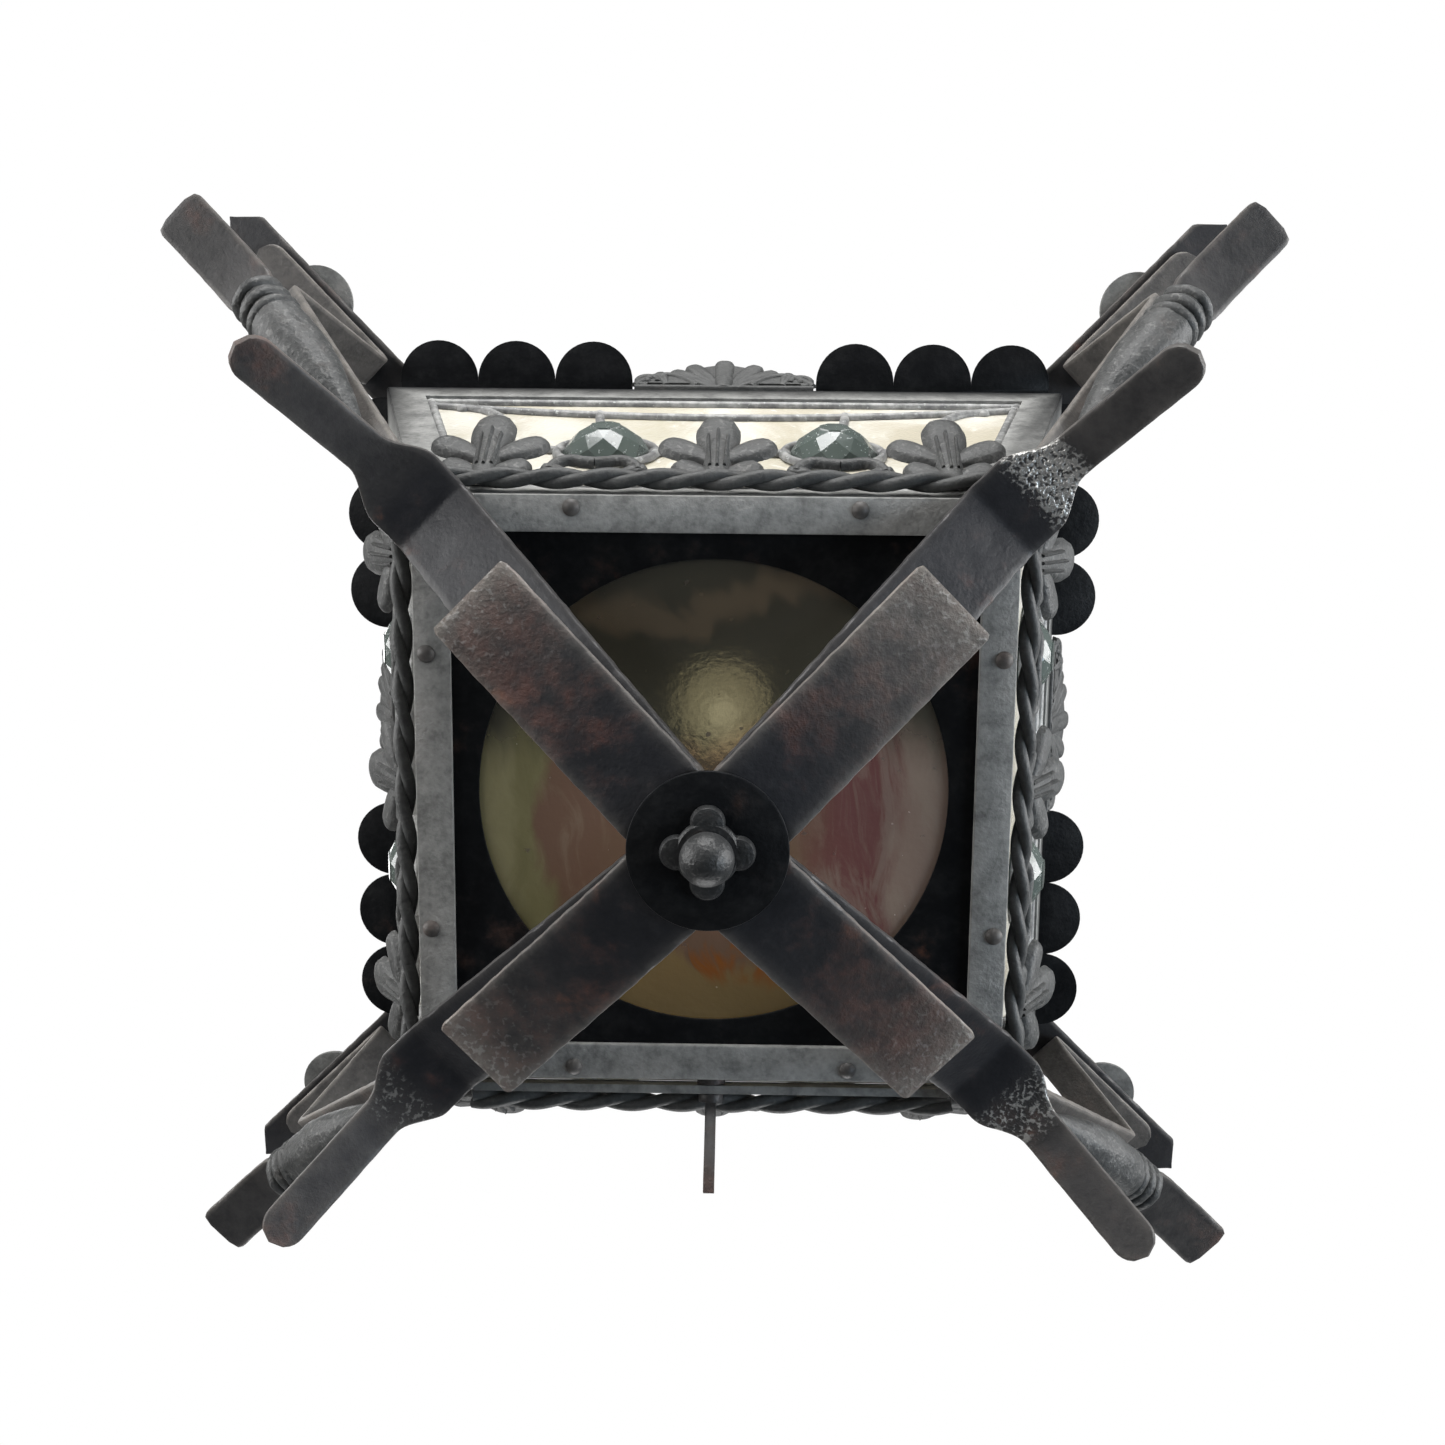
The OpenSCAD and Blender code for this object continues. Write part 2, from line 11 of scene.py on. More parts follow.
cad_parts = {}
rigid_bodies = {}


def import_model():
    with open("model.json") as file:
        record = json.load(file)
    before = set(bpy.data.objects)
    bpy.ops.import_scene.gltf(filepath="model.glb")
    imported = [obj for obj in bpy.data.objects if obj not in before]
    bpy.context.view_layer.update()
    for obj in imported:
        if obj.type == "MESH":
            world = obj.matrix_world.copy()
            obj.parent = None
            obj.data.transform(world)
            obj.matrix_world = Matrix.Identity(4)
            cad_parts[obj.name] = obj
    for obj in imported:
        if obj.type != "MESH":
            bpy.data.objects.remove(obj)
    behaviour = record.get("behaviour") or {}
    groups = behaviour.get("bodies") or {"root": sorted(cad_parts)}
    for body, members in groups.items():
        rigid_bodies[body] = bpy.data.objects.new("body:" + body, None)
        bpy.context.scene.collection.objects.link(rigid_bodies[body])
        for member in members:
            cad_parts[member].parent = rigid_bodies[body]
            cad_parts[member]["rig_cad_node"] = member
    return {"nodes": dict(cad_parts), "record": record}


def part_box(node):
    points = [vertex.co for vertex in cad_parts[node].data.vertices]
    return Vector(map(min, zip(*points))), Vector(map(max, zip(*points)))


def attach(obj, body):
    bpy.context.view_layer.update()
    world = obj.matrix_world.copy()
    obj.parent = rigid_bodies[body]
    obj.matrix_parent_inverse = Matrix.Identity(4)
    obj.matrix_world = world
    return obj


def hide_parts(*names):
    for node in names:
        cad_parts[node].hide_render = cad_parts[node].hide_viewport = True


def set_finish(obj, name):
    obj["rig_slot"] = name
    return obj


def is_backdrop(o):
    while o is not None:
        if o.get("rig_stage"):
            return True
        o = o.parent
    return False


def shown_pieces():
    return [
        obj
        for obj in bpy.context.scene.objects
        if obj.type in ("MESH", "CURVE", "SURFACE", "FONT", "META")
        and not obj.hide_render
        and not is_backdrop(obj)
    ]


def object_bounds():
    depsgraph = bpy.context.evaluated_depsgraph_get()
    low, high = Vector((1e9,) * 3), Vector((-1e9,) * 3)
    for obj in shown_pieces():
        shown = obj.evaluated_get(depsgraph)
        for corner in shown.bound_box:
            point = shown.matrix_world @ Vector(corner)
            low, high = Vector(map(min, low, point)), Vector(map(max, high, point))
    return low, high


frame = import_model()

bl_info = {
    "name": "Hanging Lantern",
    "version": (1, 0, 0),
    "blender": (4, 5, 0),
    "location": "View3D > Sidebar > Lantern",
    "description": "Builds the pieces, finishes and stage of a wrought-iron hanging lantern",
    "category": "Object",
}

# Lengths are in millimetres from the centre of the bottom frame's underside.
MM = 0.001
FRAME_LOW, FRAME_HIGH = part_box("bottom_frame")
HANG = round(-FRAME_LOW[2] / MM, 2)  # height of the hook point
HALF = round(FRAME_HIGH[0] / MM, 2)  # half the frame's side
WALL_Z = 3.0  # foot of the walls
WALL_TOP = (150.5, 165.0)  # their head: distance from the axis and height
LEAN = math.atan((WALL_TOP[0] - HALF) / (WALL_TOP[1] - WALL_Z))
WALL_LEN = math.hypot(WALL_TOP[0] - HALF, WALL_TOP[1] - WALL_Z)
DOOR_FACE = 7.5  # front of the door, outwards from a wall's plane
GLASS_BACK = -6.4  # back of the glass, likewise
GLASS_THICK = 3.02
JEWEL_U, JEWEL_V = 44.0, 68.0  # across and up the wall
EAVE_HALF, EAVE_TOP = 150.0, 177.5
ROOF_RUN, ROOF_RISE = 110.0, 100.5
HIP_TIP = (322.0, 196.86)  # distance from the axis and height
HIP_DIP = math.radians(8.8)
HUB_TOP = -80.0
BALL_Z, BALL_R = -91.5, 8.3
BUD_AT, BUD_TILT, BUD_LEN = (179.7, 23.6), math.radians(33), 72.0
SIDES = ("front", "right", "back", "left")


# ---------------------------------------------------------------- settings

class LANTERN_PG_straps(bpy.types.PropertyGroup):
    """How the forged straps are worked"""
    rounding: bpy.props.FloatProperty(
        name="Edge rounding", description="Radius worn onto the strap edges",
        default=0.0009, min=0.0002, max=0.0018, unit="LENGTH")
    dents: bpy.props.FloatProperty(
        name="Hammer dents", description="Depth of the hammer marks",
        default=0.0005, min=0.0, max=0.001, unit="LENGTH")
    step: bpy.props.FloatProperty(
        name="Mesh step", description="Length of one strip of faces along a strap",
        default=0.0016, min=0.001, max=0.004, unit="LENGTH")


class LANTERN_PG_trim(bpy.types.PropertyGroup):
    """Rope, palmettes, lead lines and jewels"""
    rope_radius: bpy.props.FloatProperty(
        name="Rope radius", description="Outer radius of the rope moulding",
        default=0.0039, min=0.002, max=0.004, unit="LENGTH")
    rope_pitch: bpy.props.FloatProperty(
        name="Rope pitch", description="Length of one whole turn of a strand",
        default=0.0375, min=0.01, max=0.06, unit="LENGTH")
    rope_strands: bpy.props.IntProperty(
        name="Rope strands", description="Number of strands in the rope", default=2, min=2, max=4)
    petal_height: bpy.props.FloatProperty(
        name="Petal relief", description="Height of the palmette petals",
        default=0.0030, min=0.001, max=0.004, unit="LENGTH")
    jewel_facets: bpy.props.IntProperty(
        name="Jewel facets", description="Facets round one row of a jewel", default=8, min=6, max=24)
    edge: bpy.props.FloatProperty(
        name="Sheet edge", description="Bevel on the edges of sheet and cast parts",
        default=0.0005, min=0.0001, max=0.001, unit="LENGTH")


class LANTERN_PG_finish(bpy.types.PropertyGroup):
    """Wear and dirt"""
    rust: bpy.props.FloatProperty(
        name="Rust", description="How far rust has spread", default=0.5, min=0.0, max=1.0)
    dust: bpy.props.FloatProperty(
        name="Dust", description="Dust lying on the paint", default=0.45, min=0.0, max=1.0)
    glow: bpy.props.FloatProperty(
        name="Lamp glow", description="Strength of the lamp", default=24.0, min=0.0, max=50.0)


class LANTERN_PG_stage(bpy.types.PropertyGroup):
    """Floor, light and camera"""
    floor_drop: bpy.props.FloatProperty(
        name="Floor below hook", description="Height of the hook above the floor",
        default=2.3, min=1.2, max=4.0, unit="LENGTH")
    sky: bpy.props.FloatProperty(
        name="Surround", description="Light from the white surround",
        default=0.12, min=0.05, max=4.0)
    backdrop: bpy.props.FloatProperty(
        name="Backdrop", description="Brightness of the surround behind the lantern",
        default=1.0, min=0.1, max=8.0)
    lens: bpy.props.FloatProperty(
        name="Lens", description="Focal length of the camera", default=38.6, min=20.0, max=100.0)


# ---------------------------------------------------------------- placing

def row(x, y, z):
    """Millimetres from the frame's underside to metres from the hook point."""
    return Vector((x * MM, y * MM, (z - HANG) * MM))


def on_corner(i):
    """Maps (distance from the axis, sideways, height) of corner i to the shared frame."""
    turn = Matrix.Rotation(math.radians(90 * i - 45), 3, "Z")

    def place(r, t, z):
        p = turn @ Vector((r, t, 0))
        return row(p.x, p.y, z)
    return place


def on_wall(side):
    """Maps (across, up the slope, outwards) of a wall to the shared frame."""
    turn = Matrix.Rotation(math.radians(90 * side), 3, "Z")
    sl, cl = math.sin(LEAN), math.cos(LEAN)

    def place(u, v, w):
        p = turn @ Vector((u, -HALF - v * sl - w * cl, 0))
        return row(p.x, p.y, WALL_Z + v * cl - w * sl)
    return place


def each_wall():
    """Every wall's side, piece name, node prefix, body and face; the front one is the door."""
    for side, name in enumerate(SIDES):
        if side == 0:
            yield side, name, "door", "door", DOOR_FACE
        else:
            yield side, name, name, "lantern", 0.0


def half_at(v):
    """Half the width of a wall at v up its slope."""
    return HALF + v * math.sin(LEAN)


def arc(cx, cy, r, a0, a1, n):
    """Points on an arc from angle a0 to a1, in degrees."""
    turns = [math.radians(a0 + (a1 - a0) * k / n) for k in range(n + 1)]
    return [(cx + r * math.cos(t), cy + r * math.sin(t)) for t in turns]


def hip_at(x, lift=0.0):
    """A point on the straight end of a hip strap, lifted off it."""
    return (x - lift * math.sin(HIP_DIP),
            HIP_TIP[1] - (HIP_TIP[0] - x) * math.tan(HIP_DIP) + lift * math.cos(HIP_DIP))


def resample(path, step):
    """Evenly spaced points along a polyline, and its length."""
    gone = [0.0]
    for a, b in zip(path, path[1:]):
        gone.append(gone[-1] + math.dist(a, b))
    n = max(8, int(gone[-1] / step))
    out, k = [], 0
    for j in range(n + 1):
        s = gone[-1] * j / n
        while k < len(path) - 2 and gone[k + 1] < s:
            k += 1
        f = (s - gone[k]) / max(1e-9, gone[k + 1] - gone[k])
        out.append((path[k][0] + (path[k + 1][0] - path[k][0]) * f,
                    path[k][1] + (path[k + 1][1] - path[k][1]) * f))
    return out, gone[-1]


def smooth(path, rounds):
    """Softens the bends of a path and keeps its ends."""
    for _ in range(rounds):
        path = [path[0]] + [((a[0] + 2 * b[0] + c[0]) / 4, (a[1] + 2 * b[1] + c[1]) / 4)
                            for a, b, c in zip(path, path[1:], path[2:])] + [path[-1]]
    return path


# ---------------------------------------------------------------- meshes

class Shape:
    """Collects vertices, faces and finish values (rust, bare metal, dust with painted light) for one piece.
    """

    def __init__(self, base=(0.0, 0.0, 0.0)):
        self.verts, self.faces, self.wear, self.base = [], [], [], base

    def add(self, point, wear=None):
        wear = wear or self.base
        self.verts.append(point)
        self.wear.append(wear)
        return len(self.verts) - 1

    def rings(self, rings, caps=True, wear=None):
        """Joins closed rings of points into a tube."""
        rows = []
        for k, ring in enumerate(rings):
            rows.append([self.add(p, wear[k][j] if wear else None) for j, p in enumerate(ring)])
        for a, b in zip(rows, rows[1:]):
            n = len(a)
            for j in range(n):
                self.faces.append((a[j], a[(j + 1) % n], b[(j + 1) % n], b[j]))
        if caps:
            for r, flip in ((rows[0], True), (rows[-1], False)):
                mid = self.add(sum((self.verts[j] for j in r), Vector()) / len(r), self.wear[r[0]])
                n = len(r)
                for j in range(n):
                    a, b = r[j], r[(j + 1) % n]
                    self.faces.append((b, a, mid) if flip else (a, b, mid))

    def build(self, name, body, slot, nodes=(), flat=False):
        mesh = bpy.data.meshes.new(name)
        mesh.from_pydata([v[:] for v in self.verts], [], self.faces)
        tag(mesh, self.wear)
        return finish_piece(mesh, name, body, slot, nodes, flat)


def tag(mesh, values):
    """Stores the finish values of the vertices."""
    mesh.attributes.new("finish", "FLOAT_VECTOR", "POINT").data.foreach_set(
        "vector", [c for v in values for c in v])


def finish_piece(mesh, name, body, slot, nodes=(), flat=False, sharp=40):
    """Faces outwards, shading, body and slot for a mesh that is in its place."""
    bm = bmesh.new()
    bm.from_mesh(mesh)
    bmesh.ops.remove_doubles(bm, verts=bm.verts, dist=1e-6)
    bmesh.ops.dissolve_degenerate(bm, dist=1e-7, edges=bm.edges)
    bmesh.ops.recalc_face_normals(bm, faces=bm.faces)
    bm.to_mesh(mesh)
    bm.free()
    for p in mesh.polygons:
        p.use_smooth = not flat
    if not flat:
        mesh.set_sharp_from_angle(angle=math.radians(sharp))
    mesh.update()
    obj = bpy.data.objects.new(name, mesh)
    bpy.context.scene.collection.objects.link(obj)
    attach(obj, body)
    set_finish(obj, slot)
    if nodes:
        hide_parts(*nodes)
    return obj


def bevelled(node, body, slot, width, wear=(0.0, 0.0, 0.0), segments=2):
    """A copy of a CAD node with eased edges that stands for it."""
    src = frame["nodes"][node]
    mesh = src.data.copy()
    mesh.materials.clear()
    bm = bmesh.new()
    bm.from_mesh(mesh)
    bmesh.ops.remove_doubles(bm, verts=bm.verts, dist=2e-6)
    bmesh.ops.dissolve_limit(bm, angle_limit=math.radians(1.0), verts=bm.verts, edges=bm.edges)
    bm.to_mesh(mesh)
    bm.free()
    temp = bpy.data.objects.new(node + "_edge", mesh)
    bpy.context.scene.collection.objects.link(temp)
    mod = temp.modifiers.new("edge", "BEVEL")
    mod.width, mod.segments, mod.limit_method = width, segments, "ANGLE"
    mod.angle_limit = math.radians(35)
    mod.use_clamp_overlap = True
    mod.harden_normals = False
    deps = bpy.context.evaluated_depsgraph_get()
    made = bpy.data.meshes.new_from_object(temp.evaluated_get(deps))
    bpy.data.objects.remove(temp)
    low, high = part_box(node)
    for v in made.vertices:
        v.co = Vector(min(max(c, lo), hi) for c, lo, hi in zip(v.co, low, high))
    tag(made, [wear(v.co) if callable(wear) else wear for v in made.vertices])
    return finish_piece(made, node + "_form", body, slot, (node,), sharp=30)


def dent(p, scale, seed):
    """Noise between 0 and 1 at a point."""
    q = Vector(p) * scale + Vector((seed * 13.7, seed * 5.1, seed * 2.9))
    return 0.5 + 0.5 * max(-1.0, min(1.0, noise.noise(q) + 0.4 * noise.noise(q * 2.7)))


def bar_profile(hw, h, r):
    """Outline of a flat bar of half width hw and half thickness h with rounded edges."""
    flat, cut = max(hw - r, 0.01), r * 0.293
    across = [flat * c for c in (-1, -0.86, -0.66, -0.44, -0.22, 0, 0.22, 0.44, 0.66, 0.86, 1)]
    edge = flat + r - cut
    return ([(u, h) for u in across] + [(edge, h - cut), (hw, h - r), (hw, r - h), (edge, cut - h)]
            + [(u, -h) for u in reversed(across)]
            + [(-edge, cut - h), (-hw, r - h), (-hw, h - r), (-edge, h - cut)])


def strap(shape, place, path, width, thick, cfg, seed, wear, blunt=(True, True), rounds=2):
    """A forged flat strap along path, a list of (distance, height). Its half width is
    width(s, length, x), its wear is wear(s, length, u, hw), and blunt rounds its two ends."""
    pts, length = resample(path, cfg.step / MM)
    pts = smooth(pts, rounds)
    soft, depth = cfg.rounding / MM, cfg.dents / MM
    rings, wears = [], []
    n = len(pts)
    for k, (x, z) in enumerate(pts):
        a, b = pts[max(k - 1, 0)], pts[min(k + 1, n - 1)]
        d = math.dist(a, b) or 1.0
        nx, nz = -(b[1] - a[1]) / d, (b[0] - a[0]) / d
        s = length * k / (n - 1)
        end = min(s / soft if blunt[0] else 9, (length - s) / soft if blunt[1] else 9, 1.0)
        shrink = (1 - math.sqrt(max(0.0, 1 - (1 - end) ** 2))) * soft * 0.8
        hw, h = max(0.25, width(s, length, x)) - shrink, thick / 2 - shrink
        ring, worn = [], []
        for u, v in bar_profile(hw, h, min(soft, hw * 0.8, h * 0.9)):
            broad = dent((s * 0.11, u * 0.11, v), 1.0, seed)
            fine = dent((s * 0.5, u * 0.5, v), 1.0, seed + 3)
            sunk = depth * (0.75 * max(0.0, broad - 0.35) + 0.35 * max(0.0, fine - 0.45))
            v -= math.copysign(min(sunk, abs(v) * 0.5), v)
            nick = dent((s * 0.16, 3.0 if u > 0 else -3.0, 0.0), 1.0, seed + 7)
            u *= 1 - 0.035 * nick * (abs(u) / max(hw, 0.1)) ** 3 * min(1.0, hw / 8)
            ring.append(place(x + nx * v, u, z + nz * v))
            worn.append(wear(s, length, u, hw))
        rings.append(ring)
        wears.append(worn)
    shape.rings(rings, wear=wears)


def run(shape, place, path, width, height, base=0.0, segments=6, closed=False):
    """A half-round moulding along a path (across, up) on a wall."""
    rings = []
    n = len(path)
    for k, (x, y) in enumerate(path):
        a = path[(k - 1) % n] if closed or k else path[k]
        b = path[(k + 1) % n] if closed or k < n - 1 else path[k]
        d = math.dist(a, b) or 1.0
        nx, ny = -(b[1] - a[1]) / d, (b[0] - a[0]) / d
        ring = []
        for j in range(segments + 1):
            t = math.pi * j / segments
            c, s = math.cos(t), math.sin(t) ** 0.7
            ring.append(place(x + nx * c * width / 2, y + ny * c * width / 2, base + s * height))
        rings.append(ring)
    if closed:
        rings.append(rings[0])
    shape.rings(rings, caps=not closed)


def petal(shape, place, root, tip, r0, r1, height, vein=0.25, across=10, along=16):
    """A domed petal from root to tip with a groove down its middle."""
    dx, dy = tip[0] - root[0], tip[1] - root[1]
    length = math.hypot(dx, dy)
    dx, dy = dx / length, dy / length
    rings = []
    for k in range(along + 1):
        t = k / along
        t = 0.5 - 0.5 * math.cos(math.pi * t)
        body = r0 + (r1 - r0) * math.sin(min(t / 0.68, 1.0) * math.pi / 2) ** 1.4
        start = length - r1 * 1.15
        s = t * length
        if s > start:
            body *= math.sqrt(max(0.0, 1 - ((s - start) / (length - start)) ** 2))
        body = max(body, 0.12)
        lift = min(1.0, body / (r1 * 0.8))
        ring = []
        for j in range(across + 1):
            c = -1 + 2 * j / across
            dome = math.sqrt(max(0.0, 1 - c * c)) ** 0.8
            groove = vein * math.exp(-(c / 0.22) ** 2) * math.sin(math.pi * min(1, t * 1.05))
            ring.append((c, height * lift * max(0.02, dome - groove)))
        ring += [(c, -0.02) for c in (0.9, 0.0, -0.9)]
        rings.append([place(root[0] + dx * s - dy * c * body, root[1] + dy * s + dx * c * body, h)
                      for c, h in ring])
    shape.rings(rings)


def dome(shape, place, x, y, r, height, base=0.0, rows=5, cols=20):
    """A low round boss."""
    def level(px, py, h):
        return place(x + px, y + py, h)
    rise = [math.pi / 2 * k / rows for k in range(rows + 1)]
    lathe(shape, level, [(base + height * math.sin(t), max(r * math.cos(t), 0.02)) for t in rise], cols)


def lathe(shape, place, profile, segments=48, flute=None):
    """Turns (height, radius) pairs about an axis; place takes (x, y, height)."""
    rings = []
    for h, r in profile:
        ring = []
        for j in range(segments):
            a = math.tau * j / segments
            q = r if flute is None else flute(h, r, a)
            ring.append(place(q * math.cos(a), q * math.sin(a), h))
        rings.append(ring)
    shape.rings(rings)


def torus(shape, centre, ax, ay, az, big, small, n=96, m=24):
    """A ring of round wire; ax and ay span its plane and az is its axis."""
    rings = []
    for k in range(n):
        a = math.tau * k / n
        out = ax * math.cos(a) + ay * math.sin(a)
        rings.append([centre + (out * (big + small * math.cos(math.tau * j / m))
                                + az * small * math.sin(math.tau * j / m)) * MM for j in range(m)])
    rings.append(rings[0])
    shape.rings(rings, caps=False)


# ---------------------------------------------------------------- pieces

def foot_path():
    """Free end, fold at the hub, rise to the frame's corner, and the leaf outside it."""
    (fx, fz), bend, free, slope = (21.0, -75.2), 2.8, 87.0, 11.5
    corner = (138.0, -2.0)
    rise = math.radians(slope)
    climb = math.degrees(math.atan2(corner[1] - fz, corner[0] - fx))
    start = (fx + bend * math.sin(rise) + free * math.cos(rise),
             fz - bend * math.cos(rise) + free * math.sin(rise))
    return ([start] + arc(fx, fz, bend, 270 + slope, 90 + climb, 10) + [corner, (154, corner[1])]
            + arc(154, -42, 40, 84, 48, 6) + [(216, -37)])


def round_end(s, length, half):
    """Half width of a strap with a round far end."""
    left = length - s
    return math.sqrt(max(0.0, half ** 2 - (half - left) ** 2)) if left < half else half


def foot_width(s, length, x):
    """The strap is 32 mm wide up to the frame's corner and necks down to the leaf."""
    neck, leaf = 152, 170
    if x < neck or s < 100:
        return 16.0
    if x < leaf:
        t = (x - neck) / (leaf - neck)
        return 16 - 8 * (t * t * (3 - 2 * t))
    return round_end(s, length, 8.0)


class LANTERN_OT_foot_straps(bpy.types.Operator):
    """Four straps folded back under the hub that end in a drooping leaf"""
    bl_idname = "lantern.foot_straps"
    bl_label = "Foot straps"
    # bare flakes at the knee, dust on the free end and rust on the leaf, corner by corner
    worn = ((0.2, 0.4, 0.55), (0.08, 0.35, 0.55), (1.0, 1.0, 0.35), (0.45, 0.5, 0.1))

    def execute(self, context):
        cfg = context.scene.lantern_straps
        for i, (pitted, dusty, rusty) in enumerate(self.worn):
            def wear(s, length, u, hw, pitted=pitted, dusty=dusty, rusty=rusty):
                left = length - s
                # rust and dust lie on the free end and fade out towards the hub; the fade to black near the
                # hub is painted shade
                end = max(0.0, 1 - s / 84)
                tip = max(0.0, 1 - left / 30) * rusty
                leaf = 0.2 / (1 + math.exp((left - 56) / 3))
                knee = math.exp(-((left - 64) / 11) ** 4)
                # extra dust on the very tip and along the long edges, strongest on the free part: partly
                # dust, partly painted highlight along the edges
                rim = math.exp(-s / 5) + 0.7 * math.exp(-(hw - abs(u)) / 1.6)
                dust_and_painted_light = dusty * end * end + (1.05 if s < 95 else 0.45) * rim + 0.15 * knee + leaf
                return min(1.0, end + tip), knee * pitted + 0.25 * math.exp(-s / 30), min(1.0, dust_and_painted_light)
            name = f"foot_strap_{i + 1}"
            shape = Shape()
            strap(shape, on_corner(i), foot_path(), foot_width, 4.0, cfg, 1 + i, wear, (True, False), 1)
            shape.build(name + "_form", "lantern", "forged_iron", (name,))
        return {"FINISHED"}


class LANTERN_OT_corner_scrolls(bpy.types.Operator):
    """Four scrolls that rise from the corners and fold back under the eave"""
    bl_idname = "lantern.corner_scrolls"
    bl_label = "Corner scrolls"

    def execute(self, context):
        cfg = context.scene.lantern_straps
        path = ([(157.5, 1.9), (163, 9.5)] + arc(254, 124, 5, -40, 37, 8)
                + arc(229.2, 173.27, 5.5, 217, 98.8, 8) + [hip_at(300, -3.63)])
        for i in range(4):
            def above(r, t, z, place=on_corner(i)):
                return place(r, t, max(z, 0.0))
            name = f"corner_scroll_{i + 1}"
            shape = Shape()
            # dust all over, lighter in a band along each long edge: the edge band is painted highlight laid
            # in the dust colour
            strap(shape, above, path, lambda s, length, x: round_end(s, length, 8.0), 3.6, cfg, 11 + i,
                  lambda s, length, u, hw: (0.1, 0.1, 0.95 if abs(u) > 0.85 * hw else 0.55), (True, False))
            shape.build(name + "_form", "lantern", "forged_iron", (name,))
        return {"FINISHED"}


class LANTERN_OT_arms_and_buds(bpy.types.Operator):
    """Four flat arms, each on a pointed bud with collar rings"""
    bl_idname = "lantern.arms_and_buds"
    bl_label = "Arms and buds"

    def execute(self, context):
        cfg = context.scene.lantern_straps
        far = BUD_LEN + 9
        c, q = math.cos(BUD_TILT), math.sin(BUD_TILT)
        root = (BUD_AT[0] + far * c, BUD_AT[1] + far * q)
        path = [root, (root[0] + 7.95, root[1] + 4.23), (264, 76), (276, 79.4), (288, 82), (301, 84.4)]

        def width(s, length, x):
            left = length - s
            corner = 4 - math.sqrt(max(0.0, 16 - (4 - left) ** 2)) if left < 4 else 0.0
            return 11.0 - corner - 2.5 * max(0.0, 1 - s / 10)
        for i in range(4):
            name = f"corner_arm_{i + 1}"
            place = on_corner(i)
            arm = Shape()
            # dust all over, lighter in a band along each long edge: the edge band is painted highlight laid
            # in the dust colour
            strap(arm, place, path, width, 3.6, cfg, 21 + i,
                  lambda s, length, u, hw: (0.1, 0.0, 0.54 if abs(u) > 0.88 * hw else 0.24),
                  (True, True), 6)
            arm.build(name + "_bar", "lantern", "forged_iron", (name,))
            self.bud(place, i).build(f"corner_bud_{i + 1}_form", "lantern", "cast_iron_black")
        return {"FINISHED"}

    def bud(self, place, i):
        """A pointed bud with three collar rings and the rivet at its foot."""
        bud = Shape((0.15, 0.15, 0.6))
        c, q = math.cos(BUD_TILT), math.sin(BUD_TILT)

        def along(x, y, h):
            return place(BUD_AT[0] + h * c - x * q, y, BUD_AT[1] + h * q + x * c)

        def hammered(h, r, a):
            marks = dent((h * 0.1, math.cos(a) * 1.8, math.sin(a) * 1.8), 1.0, 31 + i)
            fine = dent((h * 0.4, math.cos(a) * 6, math.sin(a) * 6), 1.0, 35 + i)
            return r * (1 - (0.11 * marks + 0.03 * fine) * min(1, r / 6))
        profile = [(0, 0.3)] + [(BUD_LEN * k / 48, 0.8 + 11.2 * math.sin(math.radians(118) * k / 48))
                                for k in range(1, 49)]
        lathe(bud, along, profile + [(72.3, 9.8), (86.4, 9.8), (87, 9.2)], 56, hammered)
        for h, r in ((71, 9.6), (77.5, 9.4), (84, 9.2)):
            ring = [(h + 2.6 * math.sin(t), r + 2.5 * math.cos(t))
                    for t in [math.pi * (-0.5 + k / 12) for k in range(13)]]
            lathe(bud, along, [(ring[0][0], 6.0)] + ring + [(ring[-1][0], 6.0)], 56, hammered)
        lean = math.radians(50)

        def rivet(x, y, h):
            return place(186 + h * math.sin(lean) + x * math.cos(lean), y,
                         36.5 - h * math.cos(lean) + x * math.sin(lean))
        lathe(bud, rivet, [(0, 2.0), (4, 2.0), (8, 1.9)], 20)
        return bud


class LANTERN_OT_hip_straps(bpy.types.Operator):
    """Four straps down the hips of the roof with mitred ends"""
    bl_idname = "lantern.hip_straps"
    bl_label = "Hip straps"

    def execute(self, context):
        cfg = context.scene.lantern_straps
        slope = ROOF_RISE / (ROOF_RUN * math.sqrt(2))
        rest = 1.85 * math.sqrt(1 + slope * slope)

        def ridge(x):
            return (x, EAVE_TOP + slope * (EAVE_HALF * math.sqrt(2) - x) + rest)
        path = [HIP_TIP, hip_at(246), (224, 183), ridge(206), ridge(62)]
        for i in range(4):
            name = f"hip_strap_{i + 1}"
            shape = Shape()
            # dust all over, lighter in a band along each long edge: the edge band is painted highlight laid
            # in the dust colour
            strap(shape, on_corner(i), path, lambda s, length, x: min(11.0, s + 0.3), 3.6, cfg, 41 + i,
                  lambda s, length, u, hw: (0.12, 0.0, 0.4 if abs(u) > 0.9 * hw else 0.1), (False, True), 2)
            shape.build(name + "_form", "lantern", "forged_iron", (name,))
        return {"FINISHED"}


